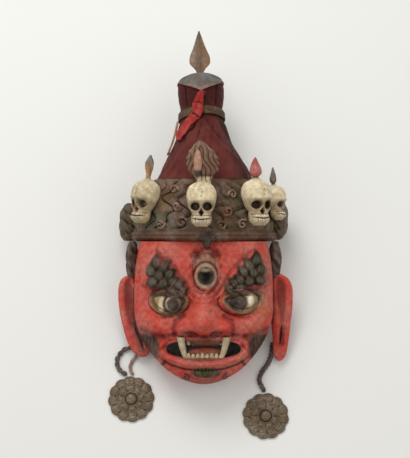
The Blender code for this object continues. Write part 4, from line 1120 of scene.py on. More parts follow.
def hair_relief(turn, y):
    """Locks combed up the crown in slow waves, deep between them, with scrolls over them in front."""
    sway = 0.10 * np.sin(0.42 * y + 2.0 * np.sin(3 * turn)) + 0.06 * np.sin(0.9 * y + 5 * turn)
    lock = np.abs(np.sin(11 * (turn + sway)))
    thin = np.sin(47 * (turn + sway) + 0.8 * np.sin(0.5 * y))
    made = 1.3 * lock**0.6 - 1.3 + 0.14 * thin + 1.2 * crown_scrolls(turn, y)
    return made * smooth_step((y - BAND - 4.8) / 1.6) * smooth_step((CROWN_TOP - y) / 3)


def crown_surface(u, v):
    turn, y = 2 * math.pi * u, BAND - 2 + (CROWN_TOP + 2 - BAND) * v
    r = crown_radius(y) * (1 + CROWN_WAVE * np.abs(np.cos(CROWN_SIDES // 2 * turn / 2)))
    band = smooth_step((BAND + 4.6 - y) / 0.6)
    r = r + hair_relief(turn, y) - 0.25 * band * smooth_step(1 - np.abs(y - BAND - 2.4) / 0.7)
    return r * np.sin(turn), y, crown_middle(y) + r * np.cos(turn)


crown = rolled("mask_crown", 420, 90, crown_surface)
inner = [(BAND - 4, 26.5), (BAND, 26.5), (72.0, 33.2 - CROWN_WALL - 1.6), (83.0, 28.0 - CROWN_WALL),
         (CROWN_TOP, 22.6 - CROWN_WALL), (CROWN_TOP + 4, 22.6 - CROWN_WALL)]


def inner_surface(u, v):
    turn, y = 2 * math.pi * u, BAND - 4 + (CROWN_TOP + 8 - BAND) * v
    r = np.interp(y, *zip(*inner))
    return r * np.sin(turn), y, crown_middle(y) + r * np.cos(turn)


def tuft_bumps(turn, rise):
    lock = np.abs(np.sin(4.5 * rise + 1.2 * np.sin(2 * turn + 2 * rise)))
    return 0.20 * lock**0.7 - 0.17 + 0.05 * np.sin(15 * rise + 6 * np.sin(2 * turn))


for sign, up in ((-1, 71.0), (1, 73.0)):
    combine(crown, ball("tuft", (sign * 34.6, up, -15.0), (4.6, 9.6, 6.0), 72, 72, tuft_bumps), "UNION")
combine(crown, ball("stub", (-29.6, 79.0, -9.0), (3.2, 3.6, 3.2), 32, 24,
                    lambda turn, rise: 0.10 * np.sin(3 * turn + 4 * rise)), "UNION")
combine(crown, rolled("crown_hollow", 60, 30, inner_surface))
combine(crown, block((-60, -40, -80), (60, BAND, 80)))
ornament_depth = crown_middle(BAND) + 34.2
for at, radii in (((1.5, 63.4), (2.1, 3.4)), ((-0.4, 64.7), (1.8, 1.7)), ((3.6, 64.7), (1.8, 1.7)),
                  ((1.6, 61.4), (1.6, 1.8))):
    combine(crown, ball("ornament", (*at, ornament_depth), (*radii, 1.8), 32, 24), "UNION")
crown.data.transform(HEAD)
combine(crown, block((-1, -1, -1), (1, 1, 0)))


def places_in(piece, matrix):
    """The places of a piece's points in the frame of a matrix."""
    back = np.array(matrix.inverted())
    return (numbers(piece.data) @ back[:3, :3].T + back[:3, 3]).T


def ripple(x, y, z, size, seed):
    """A slow random-looking swell between nought and one."""
    made = np.sin(x / size + seed) * np.sin(y / size * 1.3 + 2 * seed) + np.sin(z / size * 0.9 - seed)
    made += 0.6 * np.sin((x + y) / size * 2.1 + 3 * seed) * np.sin((y - z) / size * 1.7 - seed)
    return smooth_step(0.5 + made / 3.2)


x, y, z = places_in(crown, HEAD)
turn = np.arctan2(x, z - crown_middle(y))
paint = first_coat(tone(98, 72, 52), len(x))
paint = over(paint, 0.7 * ripple(x, y, z, 3.4, 1.7), tone(70, 62, 42))
paint = over(paint, 0.6 * ripple(x, y, z, 2.6, 4.1) * smooth_step((y - 74) / 8), tone(92, 60, 50))
paint = over(paint, 0.8 * hill(x, y, -21, 71.5, 8, 4) + 0.7 * hill(x, y, 15.5, 86, 3.4, 7), tone(74, 82, 62))
paint = over(paint, 0.6 * hill(x, y, -17, 80, 3, 4) + 0.5 * hill(x, y, 9, 72, 3, 3), tone(124, 98, 60))
on_scroll = crown_scrolls(turn, y) * (y > BAND + 5)
paint = over(paint, 0.9 * smooth_step(on_scroll / 0.5), tone(104, 68, 50))
# Painted highlights on the tops of the scrolls
scroll_highlight = smooth_step((on_scroll - 0.6) / 0.3) * ripple(x, y, z, 1.1, 2.2)
paint = over(paint, 0.7 * scroll_highlight, tone(176, 156, 122))
paint = over(paint, 0.6 * smooth_step((y - 82) / 8), tone(120, 92, 70))
paint = over(paint, smooth_step((BAND + 4.4 - y) / 0.8), tone(96, 66, 50))
paint = over(paint, 0.8 * smooth_step((BAND + 1.0 - y) / 0.9), tone(74, 42, 36))
paint = over(paint, 0.7 * smooth_step((np.abs(x) - 31) / 3), tone(96, 84, 68))
hung = smooth_step((1.15 - np.hypot((x - 1.6) / 4.2, (y - 63.2) / 3.9)) / 0.2) * (z > ornament_depth - 1.2)
paint = over(paint, hung, tone(58, 44, 34))
painted(crown, paint)
mark_hollows(crown, 5, 0.0022)
crown_look = aged("aged_dark_paint", tone(126, 100, 76), tone(26, 19, 14), 0.35, 0.95, 0.58)
finish_piece(crown, "dark_painted_wood", "crown", look=crown_look)

# Four skulls of bone-painted wood stand round the crown, each with a bud on its head; the middle
# one carries a flaming jewel instead, carved in one with it.
# Height, half width, half depth and how far forward, from the jaw up; a bud by height and radius
skull_shape = [
    (0.0, 2.6, 2.2, 1.6), (1.6, 4.3, 3.8, 1.6), (4.4, 4.6, 4.2, 1.2), (6.0, 4.4, 4.0, 0.8),
    (8.2, 5.7, 5.0, 0.6), (11.0, 6.4, 6.0, 0.0), (14.2, 6.9, 6.9, -0.4), (17.2, 6.2, 6.2, -0.6),
    (19.4, 4.4, 4.4, -0.8), (20.4, 2.4, 2.4, -0.8),
]
BUDS = {
    "ball": [(21.4, 1.3), (22.6, 2.4), (24.6, 2.5), (26.6, 1.9), (28.4, 1.2), (30.2, 0.3)],
    "bulb": [(21.6, 1.1), (24.0, 1.3), (26.4, 1.9), (28.2, 2.0), (30.4, 1.3), (32.4, 0.3)],
    "leaf": [(21.2, 1.0), (22.4, 1.8), (24.4, 1.9), (26.6, 1.5), (28.8, 1.0), (31.0, 0.25)],
    "none": [(21.0, 1.4)],
}
BUD_PAINT = {
    "ball": (tone(176, 104, 98), tone(150, 66, 66)),
    "bulb": (tone(168, 124, 78), tone(116, 108, 98)),
    "leaf": (tone(104, 92, 78), tone(96, 90, 84)),
    "none": (CREAM, CREAM),
}
BUD_FORWARD = -0.8
# name: angle round the crown, foot height, size, roll, turn of the face, kind of bud
SKULLS = {
    "skull_centre": (-1.5, 69.5, 0.95, 0.0, 0.0, "none"),
    "skull_left": (-52.0, 71.0, 0.95, 6.0, 10.0, "bulb"),
    "skull_right": (42.5, 70.0, 1.0, -1.0, -14.0, "ball"),
    "skull_far_right": (76.0, 72.5, 0.78, -2.0, -12.0, "leaf"),
}
STAND_OFF = 3.4
TEETH_ACROSS = 0.85


def skull_relief(x, y, front):
    """How far the bone stands forward of the skull's plain shape."""
    side = np.abs(x)
    made = -3.0 * smooth_step((1.25 - np.hypot((side - 2.75) / 1.9, (y - 9.1) / 1.75)) / 0.55)
    made += 0.8 * hill(side, y, 3.0, 11.9, 3.0, 0.9) + 0.4 * hill(x, y, 0, 10.2, 0.8, 1.6)
    made -= 2.2 * smooth_step((1.1 - (side / 1.2 + np.abs(y - 6.3) / 1.9)) / 0.5)
    made += 1.1 * hill(side, y, 4.5, 6.9, 1.4, 1.1) - 0.8 * hill(side, y, 4.8, 4.9, 1.2, 0.8)
    made += 0.7 * smooth_step(1 - np.abs(y - 3.2) / 2.2) * smooth_step((4.0 - side) / 1.0)
    teeth = smooth_step(1 - np.abs(y - 3.2) / 1.8) * smooth_step((3.8 - side) / 0.6)
    made -= 0.55 * teeth * (np.abs(np.sin(math.pi * x / TEETH_ACROSS)) < 0.30)
    made -= 1.0 * np.exp(-(((y - 3.2 - 0.04 * x * x) / 0.28) ** 2)) * smooth_step((4.0 - side) / 0.8)
    made -= 0.3 * smooth_step(1 - to_path(x, y, [(0, 13.4), (0.5, 16), (-0.2, 18), (0.1, 20)]) / 0.35)
    return made * front


def skull_paint(x, y, z):
    """Bone above, darker low down with dirt and painted shade, a painted shadow under the brows, dark sockets
    and nose, painted highlights on the cheekbones, and a pale jaw with its teeth.
    """
    side = np.abs(x)
    front = smooth_step(z * 0.6)
    paint = first_coat(tone(236, 222, 186), len(x))
    paint = over(paint, 0.35 * ripple(x, y, z, 1.9, 0.7), tone(168, 150, 104))
    # Darker low down: dirt, and painted shade below the lit dome
    paint = over(paint, 0.55 * smooth_step((12.6 - y) / 3), tone(150, 126, 84))
    shadow = hill(side, y, 3.0, 9.8, 3.2, 2.0) * front
    paint = over(paint, 0.85 * shadow, tone(94, 70, 44))
    sockets = smooth_step((1.22 - np.hypot((side - 2.75) / 1.9, (y - 9.1) / 1.75)) / 0.3)
    paint = over(paint, sockets * front, tone(44, 31, 20))
    nose = smooth_step((1.15 - (side / 1.2 + np.abs(y - 6.3) / 1.9)) / 0.35)
    paint = over(paint, front * nose, tone(54, 36, 26))
    # Painted highlights on the cheekbones
    paint = over(paint, 0.6 * front * hill(side, y, 4.4, 7.0, 1.2, 0.9), tone(198, 176, 132))
    paint = over(paint, 0.9 * front * smooth_step(1 - np.abs(y - 5.0) / 0.6) * (side < 4.4), tone(96, 62, 46))
    teeth = smooth_step((1.9 - np.abs(y - 3.2)) / 0.5) * (side < 3.7)
    paint = over(paint, front * teeth, tone(220, 210, 182))
    gaps = (np.abs(np.sin(math.pi * x / TEETH_ACROSS)) < 0.25) * (side < 3.6) * (np.abs(y - 3.2) < 1.8)
    paint = over(paint, 0.7 * front * gaps, tone(104, 74, 50))
    bite = np.exp(-(((y - 3.2 - 0.04 * x * x) / 0.3) ** 2)) * (side < 4.2)
    return over(paint, front * bite, tone(84, 44, 36))


def skull_surface(bud):
    """A skull's skin from its foot to the tip of its bud."""
    rows = skull_shape + [(height, radius, radius, BUD_FORWARD) for height, radius in BUDS[bud]]
    heights, wide, deep, middle = zip(*rows)
    tip = heights[-1]

    def place(u, v):
        turn, y = 2 * math.pi * u, tip * v
        petal = 1 + 0.10 * np.cos(5 * turn + 0.6 * y) * smooth_step((y - 22) / 2)
        x = bent(y, heights, wide) * np.sin(turn) * petal
        z = bent(y, heights, middle) + bent(y, heights, deep) * np.cos(turn) * petal
        return x, y, z + skull_relief(x, y, smooth_step(np.cos(turn) * 2.2)) * (y < 20.4)

    return place


# The flame's height and half width, from its foot up
flame_half = [(0.0, 3.0), (3.0, 3.4), (6.0, 6.0), (9.0, 6.9), (12.5, 6.5), (15.4, 4.9), (17.6, 2.8),
              (19.4, 0.8)]
FLAME_FOOT = 87.5
FLAME_TALL = flame_half[-1][0]


def flame_surface(u, v):
    turn, y = 2 * math.pi * u, FLAME_TALL * v
    half = bent(y, *zip(*flame_half))
    x = half * np.sin(turn) * (1 + 0.05 * np.sin(2.2 * y) * np.abs(np.sin(turn)))
    z = (1.2 + 0.2 * half) * np.cos(turn)
    licks = np.abs(np.sin(1.15 * (np.abs(x) * 1.25 + 0.35 * y + 0.8 * np.sin(0.7 * y))))
    licks = 0.8 * (licks**0.7 - 0.6) * smooth_step(np.cos(turn) * 2) * smooth_step((FLAME_TALL - y) / 3)
    return x - 1.8 * (y / FLAME_TALL) ** 2, y, z + licks


bone_look = aged("aged_bone_paint", tone(120, 92, 62), tone(50, 36, 20), 0.30, 0.85, 0.44, coat=0.1)
for name, (round_angle, foot, size, roll, turned, bud) in SKULLS.items():
    a = math.radians(round_angle)
    stand = crown_radius(foot + 6 * size) + STAND_OFF * size
    at = Vector((stand * math.sin(a), foot, crown_middle(foot + 6 * size) + stand * math.cos(a)))
    to_skull = (Matrix.Translation(at) @ Matrix.Rotation(math.radians(-roll), 4, "Z")
                @ Matrix.Rotation(a + math.radians(turned), 4, "Y") @ Matrix.Scale(size, 4))
    skull = rolled(f"mask_{name}", 96, 120, skull_surface(bud))
    x, y, z = numbers(skull.data).T
    front = smooth_step(z * 0.6)
    paint = skull_paint(x, y, z)
    if name == "skull_left":
        paint = over(paint, 0.55 * ripple(x, y, z, 2.4, 1.1), tone(128, 118, 74))
        paint = over(paint, 0.8 * front * hill(x, y, -1.4, 6.8, 2.4, 1.6), tone(140, 72, 56))
    paint = over(paint, smooth_step((y - 20.0) / 0.5), tone(196, 180, 146))
    paint = over(paint, smooth_step((y - 21.2) / 0.5), BUD_PAINT[bud][0])
    paint = over(paint, smooth_step((y - 26.0) / 3.0), BUD_PAINT[bud][1])
    painted(skull, paint, 0.3)
    skull.data.transform(to_skull)
    if name == "skull_centre":
        flame = rolled("flame", 96, 72, flame_surface)
        fx, fy, fz = numbers(flame.data).T
        gilt = first_coat(tone(116, 88, 66), len(fx))
        gilt = over(gilt, 0.5 * ripple(fx, fy, fz, 1.6, 2.2), tone(136, 108, 76))
        gilt = over(gilt, 0.5 * hill(fx, fy, 2.5, 9, 4, 6), tone(112, 76, 64))
        gilt = over(gilt, smooth_step((4.0 - fy) / 1.0), tone(196, 180, 146))
        gilt = over(gilt, smooth_step(1 - np.abs(fy - 4.4) / 0.6), tone(60, 42, 30))
        painted(flame, gilt, 0.3)
        # The drop is a jewel painted pale, which also stands for the highlight down the flame's middle; its
        # foot is dark
        drop = ball("drop", (-2.6, 9.5, 2.4), (1.8, 5.9, 1.8), 32, 28)
        dy = numbers(drop.data)[:, 1]
        pale = first_coat(tone(178, 138, 118), len(dy))
        painted(drop, over(pale, smooth_step((7.2 - dy) / 1.6), tone(50, 34, 24)), 0.8)
        combine(flame, drop, "UNION")
        flame.data.transform(Matrix.Translation((0.1, FLAME_FOOT, crown_middle(CROWN_TOP) + 28.2)))
        combine(skull, flame, "UNION")
    skull.data.transform(HEAD)
    mark_hollows(skull, 4, 0.0010)
    finish_piece(skull, "bone_painted_wood", name, look=bone_look)

# The hat's cone is a form of stiffened cloth covered in maroon silk, which is drawn up round it in
# slanting folds. Painted shade darkens it down its right side, and it is darker towards its top.
HAT_CLOTH = 0.006 / MEASURE
CONE_TOP = 28.0
# Heights and radii of the cone's outside and inside
cone_shape = [(-14.0, 25.5), (0.0, 20.9), (5.0, 18.7), (10.0, 16.2), (16.0, 13.3), (22.0, 11.3),
              (CONE_TOP, 10.0)]
cone_inner = [(-16.0, 26.2 - HAT_CLOTH), (0.0, 20.9 - HAT_CLOTH), (10.0, 16.2 - HAT_CLOTH),
              (CONE_TOP - HAT_CLOTH, 10.2 - HAT_CLOTH)]


def cone_radius(y):
    return np.interp(y, *zip(*cone_shape))


def cone_folds(turn, y):
    """Soft folds that slant round the cone, two of them broad and crossing at the front."""
    turn = (turn + math.pi) % (2 * math.pi) - math.pi
    made = 0.45 * np.abs(np.sin(5 * turn + 0.2 * y)) ** 1.5 + 0.18 * np.abs(np.sin(13 * turn - 0.25 * y))
    for start, slope, half in (
            (0.10, 0.045, 0.10), (-0.15, -0.030, 0.12), (0.55, 0.02, 0.10), (-0.8, -0.015, 0.12),
            (1.2, 0.01, 0.12), (2.0, -0.02, 0.15), (-2.1, 0.02, 0.15), (3.0, 0.0, 0.14)):
        line = start + slope * (24 - y)
        made = made + 0.55 * np.exp(-(((turn - line) / half) ** 2))
    return (made - 0.15) * smooth_step((CONE_TOP + 0.5 - y) / 4)


def cone_surface(u, v):
    turn, y = 2 * math.pi * u, -14 + (CONE_TOP + 14) * v
    r = cone_radius(y) * (1 + 0.012 * np.abs(np.cos(5 * turn))) + cone_folds(turn, y)
    return r * np.sin(turn), y, r * np.cos(turn)


def cone_inside(u, v):
    turn, y = 2 * math.pi * u, -16 + (CONE_TOP - HAT_CLOTH + 16) * v
    r = np.interp(y, *zip(*cone_inner))
    return r * np.sin(turn), y, r * np.cos(turn)


silk = cloth("maroon_silk", tone(90, 30, 24), tone(106, 48, 40), tone(34, 11, 11),
             420, 260, 26.0, 0.00025, 0.12, tone(200, 130, 130))
cone = rolled("hat_silk", 260, 100, cone_surface, HAT)
combine(cone, rolled("cone_hollow", 40, 20, cone_inside, HAT))
combine(cone, block((-60, -40, -80), (60, CROWN_TOP + GAP, 80), HEAD))
combine(cone, block((-1, -1, -1), (1, 1, 0)))
x, y, z = places_in(cone, HAT)
# Painted shade down the cone's right side, and darker towards its top
store(cone, "shade", 0.75 * smooth_step((x / cone_radius(y) - 0.55) / 0.4) + 0.35 * smooth_step((y - 23) / 5))
mark_hollows(cone, 5, 0.0012)
finish_piece(cone, "maroon_silk", "hat_cone", look=silk)

# The drum above it is a stuffed bag of dark velvet, sewn in four full lobes with seams between
# them, and stands on the cone's top.
DRUM_TOP = 50.5
DRUM_LOBES = 0.05
# Heights and radii of the drum
drum_shape = [(CONE_TOP + GAP, 9.6), (32.0, 9.7), (34.0, 9.4), (38.0, 10.0), (43.0, 10.4), (47.0, 9.6),
              (49.6, 7.0), (DRUM_TOP, 3.4)]


def drum_radius(y):
    return np.interp(y, *zip(*drum_shape))


def drum_swell(turn):
    return 1.0 + DRUM_LOBES * np.abs(np.cos(2 * turn))


def drum_surface(u, v):
    turn, y = 2 * math.pi * u, CONE_TOP + GAP + (DRUM_TOP - CONE_TOP - GAP) * v
    r = bent(y, *zip(*drum_shape)) * drum_swell(turn)
    seam = np.exp(-((np.sin(2 * (turn - math.pi / 4)) / 0.12) ** 2)) * smooth_step((y - 33) / 2)
    soft = 0.10 * np.sin(9 * turn + 0.7 * y) * np.sin(0.9 * y)
    r = r - 0.5 * seam + soft * smooth_step((DRUM_TOP - y) / 3) - 0.12
    return r * np.sin(turn), y, r * np.cos(turn)


velvet = cloth("dark_velvet", tone(62, 16, 12), tone(78, 28, 22), tone(26, 8, 8),
               160, 120, 60.0, 0.0003, 0.15, tone(180, 90, 80))
drum = rolled("hat_velvet", 160, 80, drum_surface, HAT)
mark_hollows(drum, 5, 0.0010)
finish_piece(drum, "dark_velvet", "hat_drum", look=velvet)

# The cap is grey-green cloth stretched over the drum's top, cut to a point at the front and piped
# with two thin beige cords along its hem.
TRIM = 0.003 / MEASURE
CAP_HEM = 47.0
CAP_POINT = 7.0
CAP_SPREAD = 1.25
cap_top = DRUM_TOP + GAP + TRIM


def hem_height(turn):
    """The height of the cap's hem, which dips to a point at the front."""
    from_front = np.minimum(turn % (2 * math.pi), 2 * math.pi - turn % (2 * math.pi))
    return CAP_HEM - CAP_POINT * np.maximum(0.0, 1 - from_front / CAP_SPREAD)


def cap_surface(u, v):
    """Up the outside from the hem to the top and back down inside."""
    turn = 2 * math.pi * u
    out = np.clip(v * 2, 0, 1)
    back = np.clip(v * 2 - 1, 0, 1)
    share = np.where(v <= 0.5, out, 1 - back)
    thick = np.where(v <= 0.5, TRIM, 0.12)
    low = hem_height(turn)
    y = low + (DRUM_TOP - 0.2 - low) * np.minimum(share * 1.15, 1.0)
    over_top = np.clip((share * 1.15 - 1.0) / 0.15, 0, 1)
    r = (bent(y, *zip(*drum_shape)) + GAP + thick) * drum_swell(turn)
    lifted = y + (thick + 0.2) * smooth_step(share * 1.15 - 0.6)
    return r * (1 - over_top) * np.sin(turn), lifted, r * (1 - over_top) * np.cos(turn)


cap_cloth = cloth("grey_green_cloth", tone(98, 92, 84), tone(116, 112, 108), tone(56, 52, 46),
                  120, 60, 60.0, 0.0003)
cap_piece = rolled("hat_cap_cloth", 96, 40, cap_surface, HAT)
mark_hollows(cap_piece, 4, 0.0010)
finish_piece(cap_piece, "grey_cloth", "hat_cap", look=cap_cloth)


def hem_path(count, above):
    """Points round the hem, this far above it."""
    made = []
    for k in range(count):
        turn = 2 * math.pi * k / count
        y = float(hem_height(np.float64(turn))) + above
        r = (float(drum_radius(y)) + GAP + TRIM * 0.8) * float(drum_swell(np.float64(turn)))
        made.append(Vector((r * math.sin(turn), y, r * math.cos(turn))))
    return made


def tube_round(name, ring, radius, matrix, sides=8):
    """A closed tube round a closed path."""
    count = len(ring)

    def place(u, v):
        at = np.round(v * count).astype(int) % count
        here = np.array([ring[k] for k in at])
        along = np.array([(ring[(k + 1) % count] - ring[k - 1]).normalized() for k in at])
        out = here * np.array([1, 0, 1])
        out /= np.linalg.norm(out, axis=1)[:, None]
        up = np.cross(along, out)
        turn = 2 * math.pi * u
        moved = here + radius * (np.cos(turn)[:, None] * out + np.sin(turn)[:, None] * up)
        return moved.T

    return rolled(name, sides, count, place, matrix, closed=False)


PIPING_RADIUS = 0.36
piping_cloth = cloth("beige_piping", tone(146, 110, 98), tone(166, 132, 116), tone(84, 56, 46),
                     8, 220, 60.0)
piping = joined("hat_piping", [tube_round("hem_cord", hem_path(120, above), PIPING_RADIUS, HAT)
                               for above in (0.0, 0.75)])
mark_hollows(piping, 2, 0.0006)
finish_piece(piping, "beige_cloth", look=piping_cloth)

# A ribbon of grey-green cloth is bound tightly round the foot of the drum, over the seam with the
# cone, and lies in small pleats.
RIBBON_LOW, RIBBON_TOP = 28.6, 32.4
RIBBON_RADIUS = 9.75
band_in = RIBBON_RADIUS * (1.0 + DRUM_LOBES) + 2 * GAP


def ribbon_surface(u, v):
    turn = 2 * math.pi * u
    round_ = 2 * math.pi * v
    y = (RIBBON_LOW + RIBBON_TOP) / 2 + (RIBBON_TOP - RIBBON_LOW) / 2 * np.sin(round_)
    pleat = 0.12 * np.sin(2.6 * y + 3 * np.sin(2 * turn)) + 0.05 * np.sin(23 * turn + 2 * y)
    r = band_in + TRIM * (0.45 + 0.45 * np.cos(round_)) + pleat * (np.cos(round_) > 0) * np.cos(round_)
    return r * np.sin(turn), y + 0.25 * np.sin(2 * turn + 0.6), r * np.cos(turn)


ribbon_cloth = cloth("green_grey_ribbon", tone(80, 62, 42), tone(100, 84, 60), tone(36, 24, 16),
                     300, 24, 60.0)
ribbon = rolled("hat_band_cloth", 128, 20, ribbon_surface, HAT, closed=False)
mark_hollows(ribbon, 3, 0.0008)
finish_piece(ribbon, "green_cloth", "hat_ribbon", look=ribbon_cloth)

# A red scarf is knotted over the drum's front, its tail twisted down to the left and held by the
# ribbon. A strip of tan cloth hangs from the ribbon down the left side.


def on_hat(angle, y, off):
    """A point on the hat at this angle round it, this far off its cloth, and the way out there."""
    a = math.radians(angle)
    r = float(cone_radius(y)) * 1.03 if y < CONE_TOP else float(drum_radius(y) * drum_swell(a))
    if RIBBON_LOW - 0.8 < y < RIBBON_TOP + 0.8:
        r = max(r, band_in + TRIM)
    point = Vector(((r + off) * math.sin(a), y, (r + off) * math.cos(a)))
    return point, Vector((math.sin(a), 0, math.cos(a)))


def strip(name, route, halves, thick, off, pleats):
    """A strip of cloth that lies on the hat along a route of angles and heights, pleated lengthwise."""
    knots = np.linspace(0, 1, len(route))
    angles, heights = zip(*route)
    count = 60
    rows = []
    for k in range(count + 1):
        v = k / count
        point, out = on_hat(float(bent(v, knots, angles)), float(bent(v, knots, heights)), off + thick)
        rows.append((point, out, float(bent(v, knots, halves))))
    lines = []
    for k, row in enumerate(rows):
        along = (rows[min(k + 1, count)][0] - rows[max(k - 1, 0)][0]).normalized()
        lines.append((*row, along.cross(row[1]).normalized()))

    def place(u, v):
        at = np.round(v * count).astype(int)
        point, out, half, side = columns(lines, at)
        turn = 2 * math.pi * u
        wave = 1 + pleats * np.abs(np.sin(3 * turn + 5 * v))
        moved = (point + side * (half * np.cos(turn))[:, None]
                 + out * (thick * np.sin(turn) * np.where(np.sin(turn) > 0, wave, 1))[:, None])
        return moved.T

    return rolled(name, 36, count, place, HAT)


red_cloth = cloth("red_scarf_cloth", tone(156, 38, 36), tone(176, 74, 64), tone(78, 14, 16),
                  40, 200, 60.0, 0.0003)
scarf = strip("scarf_tail",
              [(2, 39.0), (-4, 36), (-8, 32.5), (-10, 28.5), (-30, 24), (-44, 19.5), (-46, 16.0)],
              [0.9, 1.9, 2.5, 2.4, 2.2, 2.7, 1.3], 0.85, 0.75, 0.25)
mark_hollows(scarf, 3, 0.0008)
finish_piece(scarf, "red_cloth", "red_scarf", look=red_cloth)


KNOT_STEPS = 40


def knot_loop(name, angle, y, across, along, radius, tilt, look):
    """A loop of rolled cloth that lies on the hat about a place, its own radius thick."""
    middle, out = on_hat(angle, y, radius)
    flat = Vector((0, 1, 0)).cross(out).normalized()
    ring = []
    for k in range(KNOT_STEPS):
        b = 2 * math.pi * k / KNOT_STEPS
        dx, dy = across * math.cos(b), along * math.sin(b)
        c, s = math.cos(math.radians(tilt)), math.sin(math.radians(tilt))
        ring.append(middle + flat * (dx * c - dy * s) + Vector((0, 1, 0)) * (dx * s + dy * c))

    def place(u, v):
        at = np.round(v * KNOT_STEPS).astype(int) % KNOT_STEPS
        here = np.array([ring[k] for k in at])
        from_middle = here - np.array(middle)
        from_middle /= np.linalg.norm(from_middle, axis=1)[:, None]
        turn = 2 * math.pi * u
        swell = radius * (1 + 0.12 * np.sin(3 * turn + 6 * math.pi * v))
        moved = here + (swell * np.cos(turn))[:, None] * from_middle
        moved = moved + (swell * np.sin(turn))[:, None] * np.array(out)
        return moved.T

    loop = rolled(name, 12, KNOT_STEPS, place, HAT, closed=False)
    mark_hollows(loop, 2, 0.0006)
    finish_piece(loop, "red_cloth", look=look)
    return loop


pink_cloth = cloth("faded_red_cloth", tone(166, 74, 72), tone(190, 128, 114), tone(96, 26, 28),
                   20, 120, 90.0, 0.0003)
for name, angle, y, across, along, radius, tilt, look in (
        ("scarf_knot_top", 0, 38.0, 1.5, 1.0, 0.75, 20, pink_cloth),
        ("scarf_knot_low", -8, 29.8, 1.9, 1.1, 0.85, -15, pink_cloth),
        ("scarf_ring", -30, 22.2, 1.7, 1.7, 0.85, 0, red_cloth)):
    knot = knot_loop(name, angle, y, across, along, radius, tilt, look)
tan_cloth = cloth("tan_strip_cloth", tone(158, 109, 86), tone(178, 138, 108), tone(90, 56, 40),
                  30, 150, 60.0)
side_strip = strip("tan_strip", [(-72, 27.6), (-74, 24), (-73, 19), (-68, 13.5), (-64, 10.5)],
                   [0.8, 1.3, 1.5, 1.8, 1.1], 0.45, 0.75, 0.3)
mark_hollows(side_strip, 3, 0.0006)
finish_piece(side_strip, "beige_cloth", "side_strip", look=tan_cloth)

# The spearhead on top is forged iron, a four-sided leaf on a short neck, browned with age. Its
# neck goes down into the cap.
SPEAR_NECK = 52.0
SPEAR_TIP = 74.5
spear_foot = cap_top + GAP
# Height, half width and half depth up the blade
spear_shape = [(spear_foot, 1.9, 1.5), (SPEAR_NECK + 1.2, 1.7, 1.4), (SPEAR_NECK + 2.8, 2.5, 1.8),
               (58.2, 4.9, 2.7), (59.8, 4.9, 2.7), (66.0, 2.9, 1.9), (SPEAR_TIP, 0.25, 0.2)]


def spear_surface(u, v):
    y = spear_foot + (SPEAR_TIP - spear_foot) * v
    heights, wide, deep = zip(*spear_shape)
    corner = (u * 4) % 1.0
    start = np.floor(u * 4) * math.pi / 2
    pinch = 1 - 0.16 * np.sin(math.pi * corner) * smooth_step((y - SPEAR_NECK - 2) / 3)
    x = np.sin(start) * (1 - corner) + np.cos(start) * corner
    z = np.cos(start) * (1 - corner) - np.sin(start) * corner
    return bent(y, heights, wide) * x * pinch, y, bent(y, heights, deep) * z * pinch


spear = rolled("spear_blade", 48, 60, spear_surface, HAT)
# The blade's facets meet at shallow angles and stay sharp
bpy.ops.object.shade_smooth_by_angle(angle=math.radians(25))
x, y, z = places_in(spear, HAT)
paint = first_coat(tone(126, 106, 90), len(x))
paint = over(paint, 0.8 * smooth_step((x - 0.3) / 0.6), tone(146, 112, 84))
paint = over(paint, 0.5 * smooth_step((y - 66) / 6), tone(84, 72, 64))
painted(spear, paint, 0.2)
mark_hollows(spear, 2, 0.0010)
iron = aged("browned_iron", tone(132, 120, 108), tone(48, 38, 30), 0.35, 0.7, 0.52, metallic=0.45)
finish_piece(spear, "dark_iron", "spearhead", look=iron)

# The ear pendants are cast brass rosettes with two rings of petals round a boss, a rope of beads
# between them and a scalloped rim. Twelve small holes go through the outer petals.
ROSETTE_RADIUS = 10.4
ROSETTE_LOBES = 12
ROSETTE_THICK = 0.007 / MEASURE
HOLE_RING = 8.4
HOLE_RADIUS = 0.55
LEFT_PENDANT = (-32.4, -8.4)
brass = aged("old_brass", tone(160, 146, 120), tone(30, 25, 19), 0.6, 1.0, 0.5, metallic=0.6,
             colour=tone(108, 95, 76), depth=0.0004)


def rosette_relief(r, turn):
    """Petals in two rings, a rope of beads between them and a scalloped, beaded rim."""
    petal = np.abs(np.cos(ROSETTE_LOBES * turn / 2)) ** 0.6
    inner = np.abs(np.cos(4 * turn)) ** 0.6
    made = petal * smooth_step(1 - np.abs(r - 7.9) / 2.0)
    made += 0.9 * inner * smooth_step(1 - np.abs(r - 4.6) / 1.9)
    made -= 0.5 * smooth_step(1 - np.abs(r - 7.9) / 0.8) * petal**3
    made += 0.45 * smooth_step(1 - np.abs(r - 6.3) / 0.45) * (0.6 + 0.4 * np.cos(48 * turn))
    made += 0.5 * smooth_step(1 - np.abs(r - 9.6) / 0.5) * (0.6 + 0.4 * np.cos(4 * ROSETTE_LOBES * turn))
    made += 0.5 * smooth_step(1 - np.abs(r - 3.1) / 0.5)
    return made + 1.9 * np.sqrt(np.clip(1 - (r / 2.5) ** 2, 0, 1))


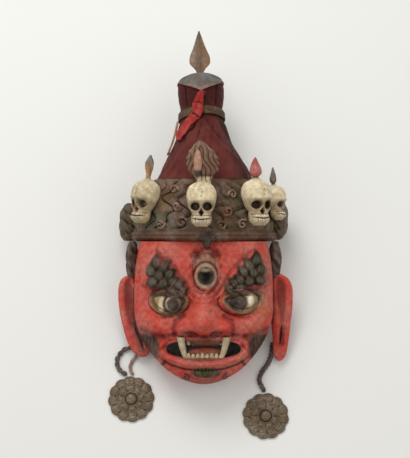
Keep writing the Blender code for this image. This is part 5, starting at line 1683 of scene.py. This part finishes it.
for name, (at_x, at_y), turn in (("rosette_left", LEFT_PENDANT, 0.1),
                                 ("rosette_right", RIGHT_PENDANT, 0.35)):
    half = ROSETTE_THICK / 2
    lie = GROUND @ Matrix.Translation((at_x, at_y, half)) @ Matrix.Rotation(turn, 4, "Z")

    def disc_surface(u, v, half=half):
        """Out over the top from the middle to the rim and back under it."""
        turn_ = 2 * math.pi * u
        lobe = 0.93 + 0.07 * np.abs(np.cos(ROSETTE_LOBES * turn_ / 2))
        r = ROSETTE_RADIUS * lobe * np.clip(np.where(v < 0.8, v / 0.8, (1 - v) / 0.2), 0.0, 1.0)
        top = half * 0.1 + 0.75 * rosette_relief(r, turn_)
        edge = smooth_step((ROSETTE_RADIUS * lobe - r) / 0.5)
        return r * np.cos(turn_), r * np.sin(turn_), np.where(v < 0.8, top * edge, -half * edge)

    rosette = rolled(f"{name}_brass", 288, 110, disc_surface, lie)
    for i in range(ROSETTE_LOBES):
        a = 2 * math.pi * (i + 0.5) / ROSETTE_LOBES
        at = Vector((HOLE_RING * math.cos(a), HOLE_RING * math.sin(a), 0))

        def hole(u, v, at=at):
            x = at.x + HOLE_RADIUS * np.cos(2 * math.pi * u)
            return x, at.y + HOLE_RADIUS * np.sin(2 * math.pi * u), 3 - 6 * v

        combine(rosette, rolled("hole", 14, 1, hole, lie))
    mark_hollows(rosette, 3, 0.0008)
    finish_piece(rosette, "old_brass", name, look=brass)

# A plain pale floor, a soft light from behind the hat, a weaker one from each side of the chin
# and an even light all round.
bpy.ops.object.select_all(action="DESELECT")
bpy.ops.mesh.primitive_plane_add(size=14, location=(0, 0, 0))
floor = bpy.context.object
floor.name = "floor"
floor_look, tree, shader = material("pale_floor", rough=0.85)
shader.inputs["Base Color"].default_value = (*tone(226, 226, 222), 1)
floor.data.materials.append(floor_look)


WORLD_LIGHT = 0.52


def lamp(name, place, size, power):
    """A square soft light that faces the mask."""
    bpy.ops.object.light_add(type="AREA", location=place)
    made = bpy.context.object
    made.name = name
    made.data.size = size
    made.data.energy = power
    made.rotation_euler = (-Vector(place)).to_track_quat("-Z", "Y").to_euler()


lamp("key", (-0.6, 1.5, 2.3), 1.5, 41)
lamp("fill", (1.6, -0.4, 2.2), 2.2, 13)
lamp("side", (-1.8, -0.6, 2.0), 2.2, 11)
world = bpy.data.worlds.new("soft_room")
bpy.context.scene.world = world
world.use_nodes = True
world.node_tree.nodes["Background"].inputs["Color"].default_value = (1.0, 0.99, 0.97, 1.0)
world.node_tree.nodes["Background"].inputs["Strength"].default_value = WORLD_LIGHT
bpy.context.scene.view_settings.view_transform = "Standard"
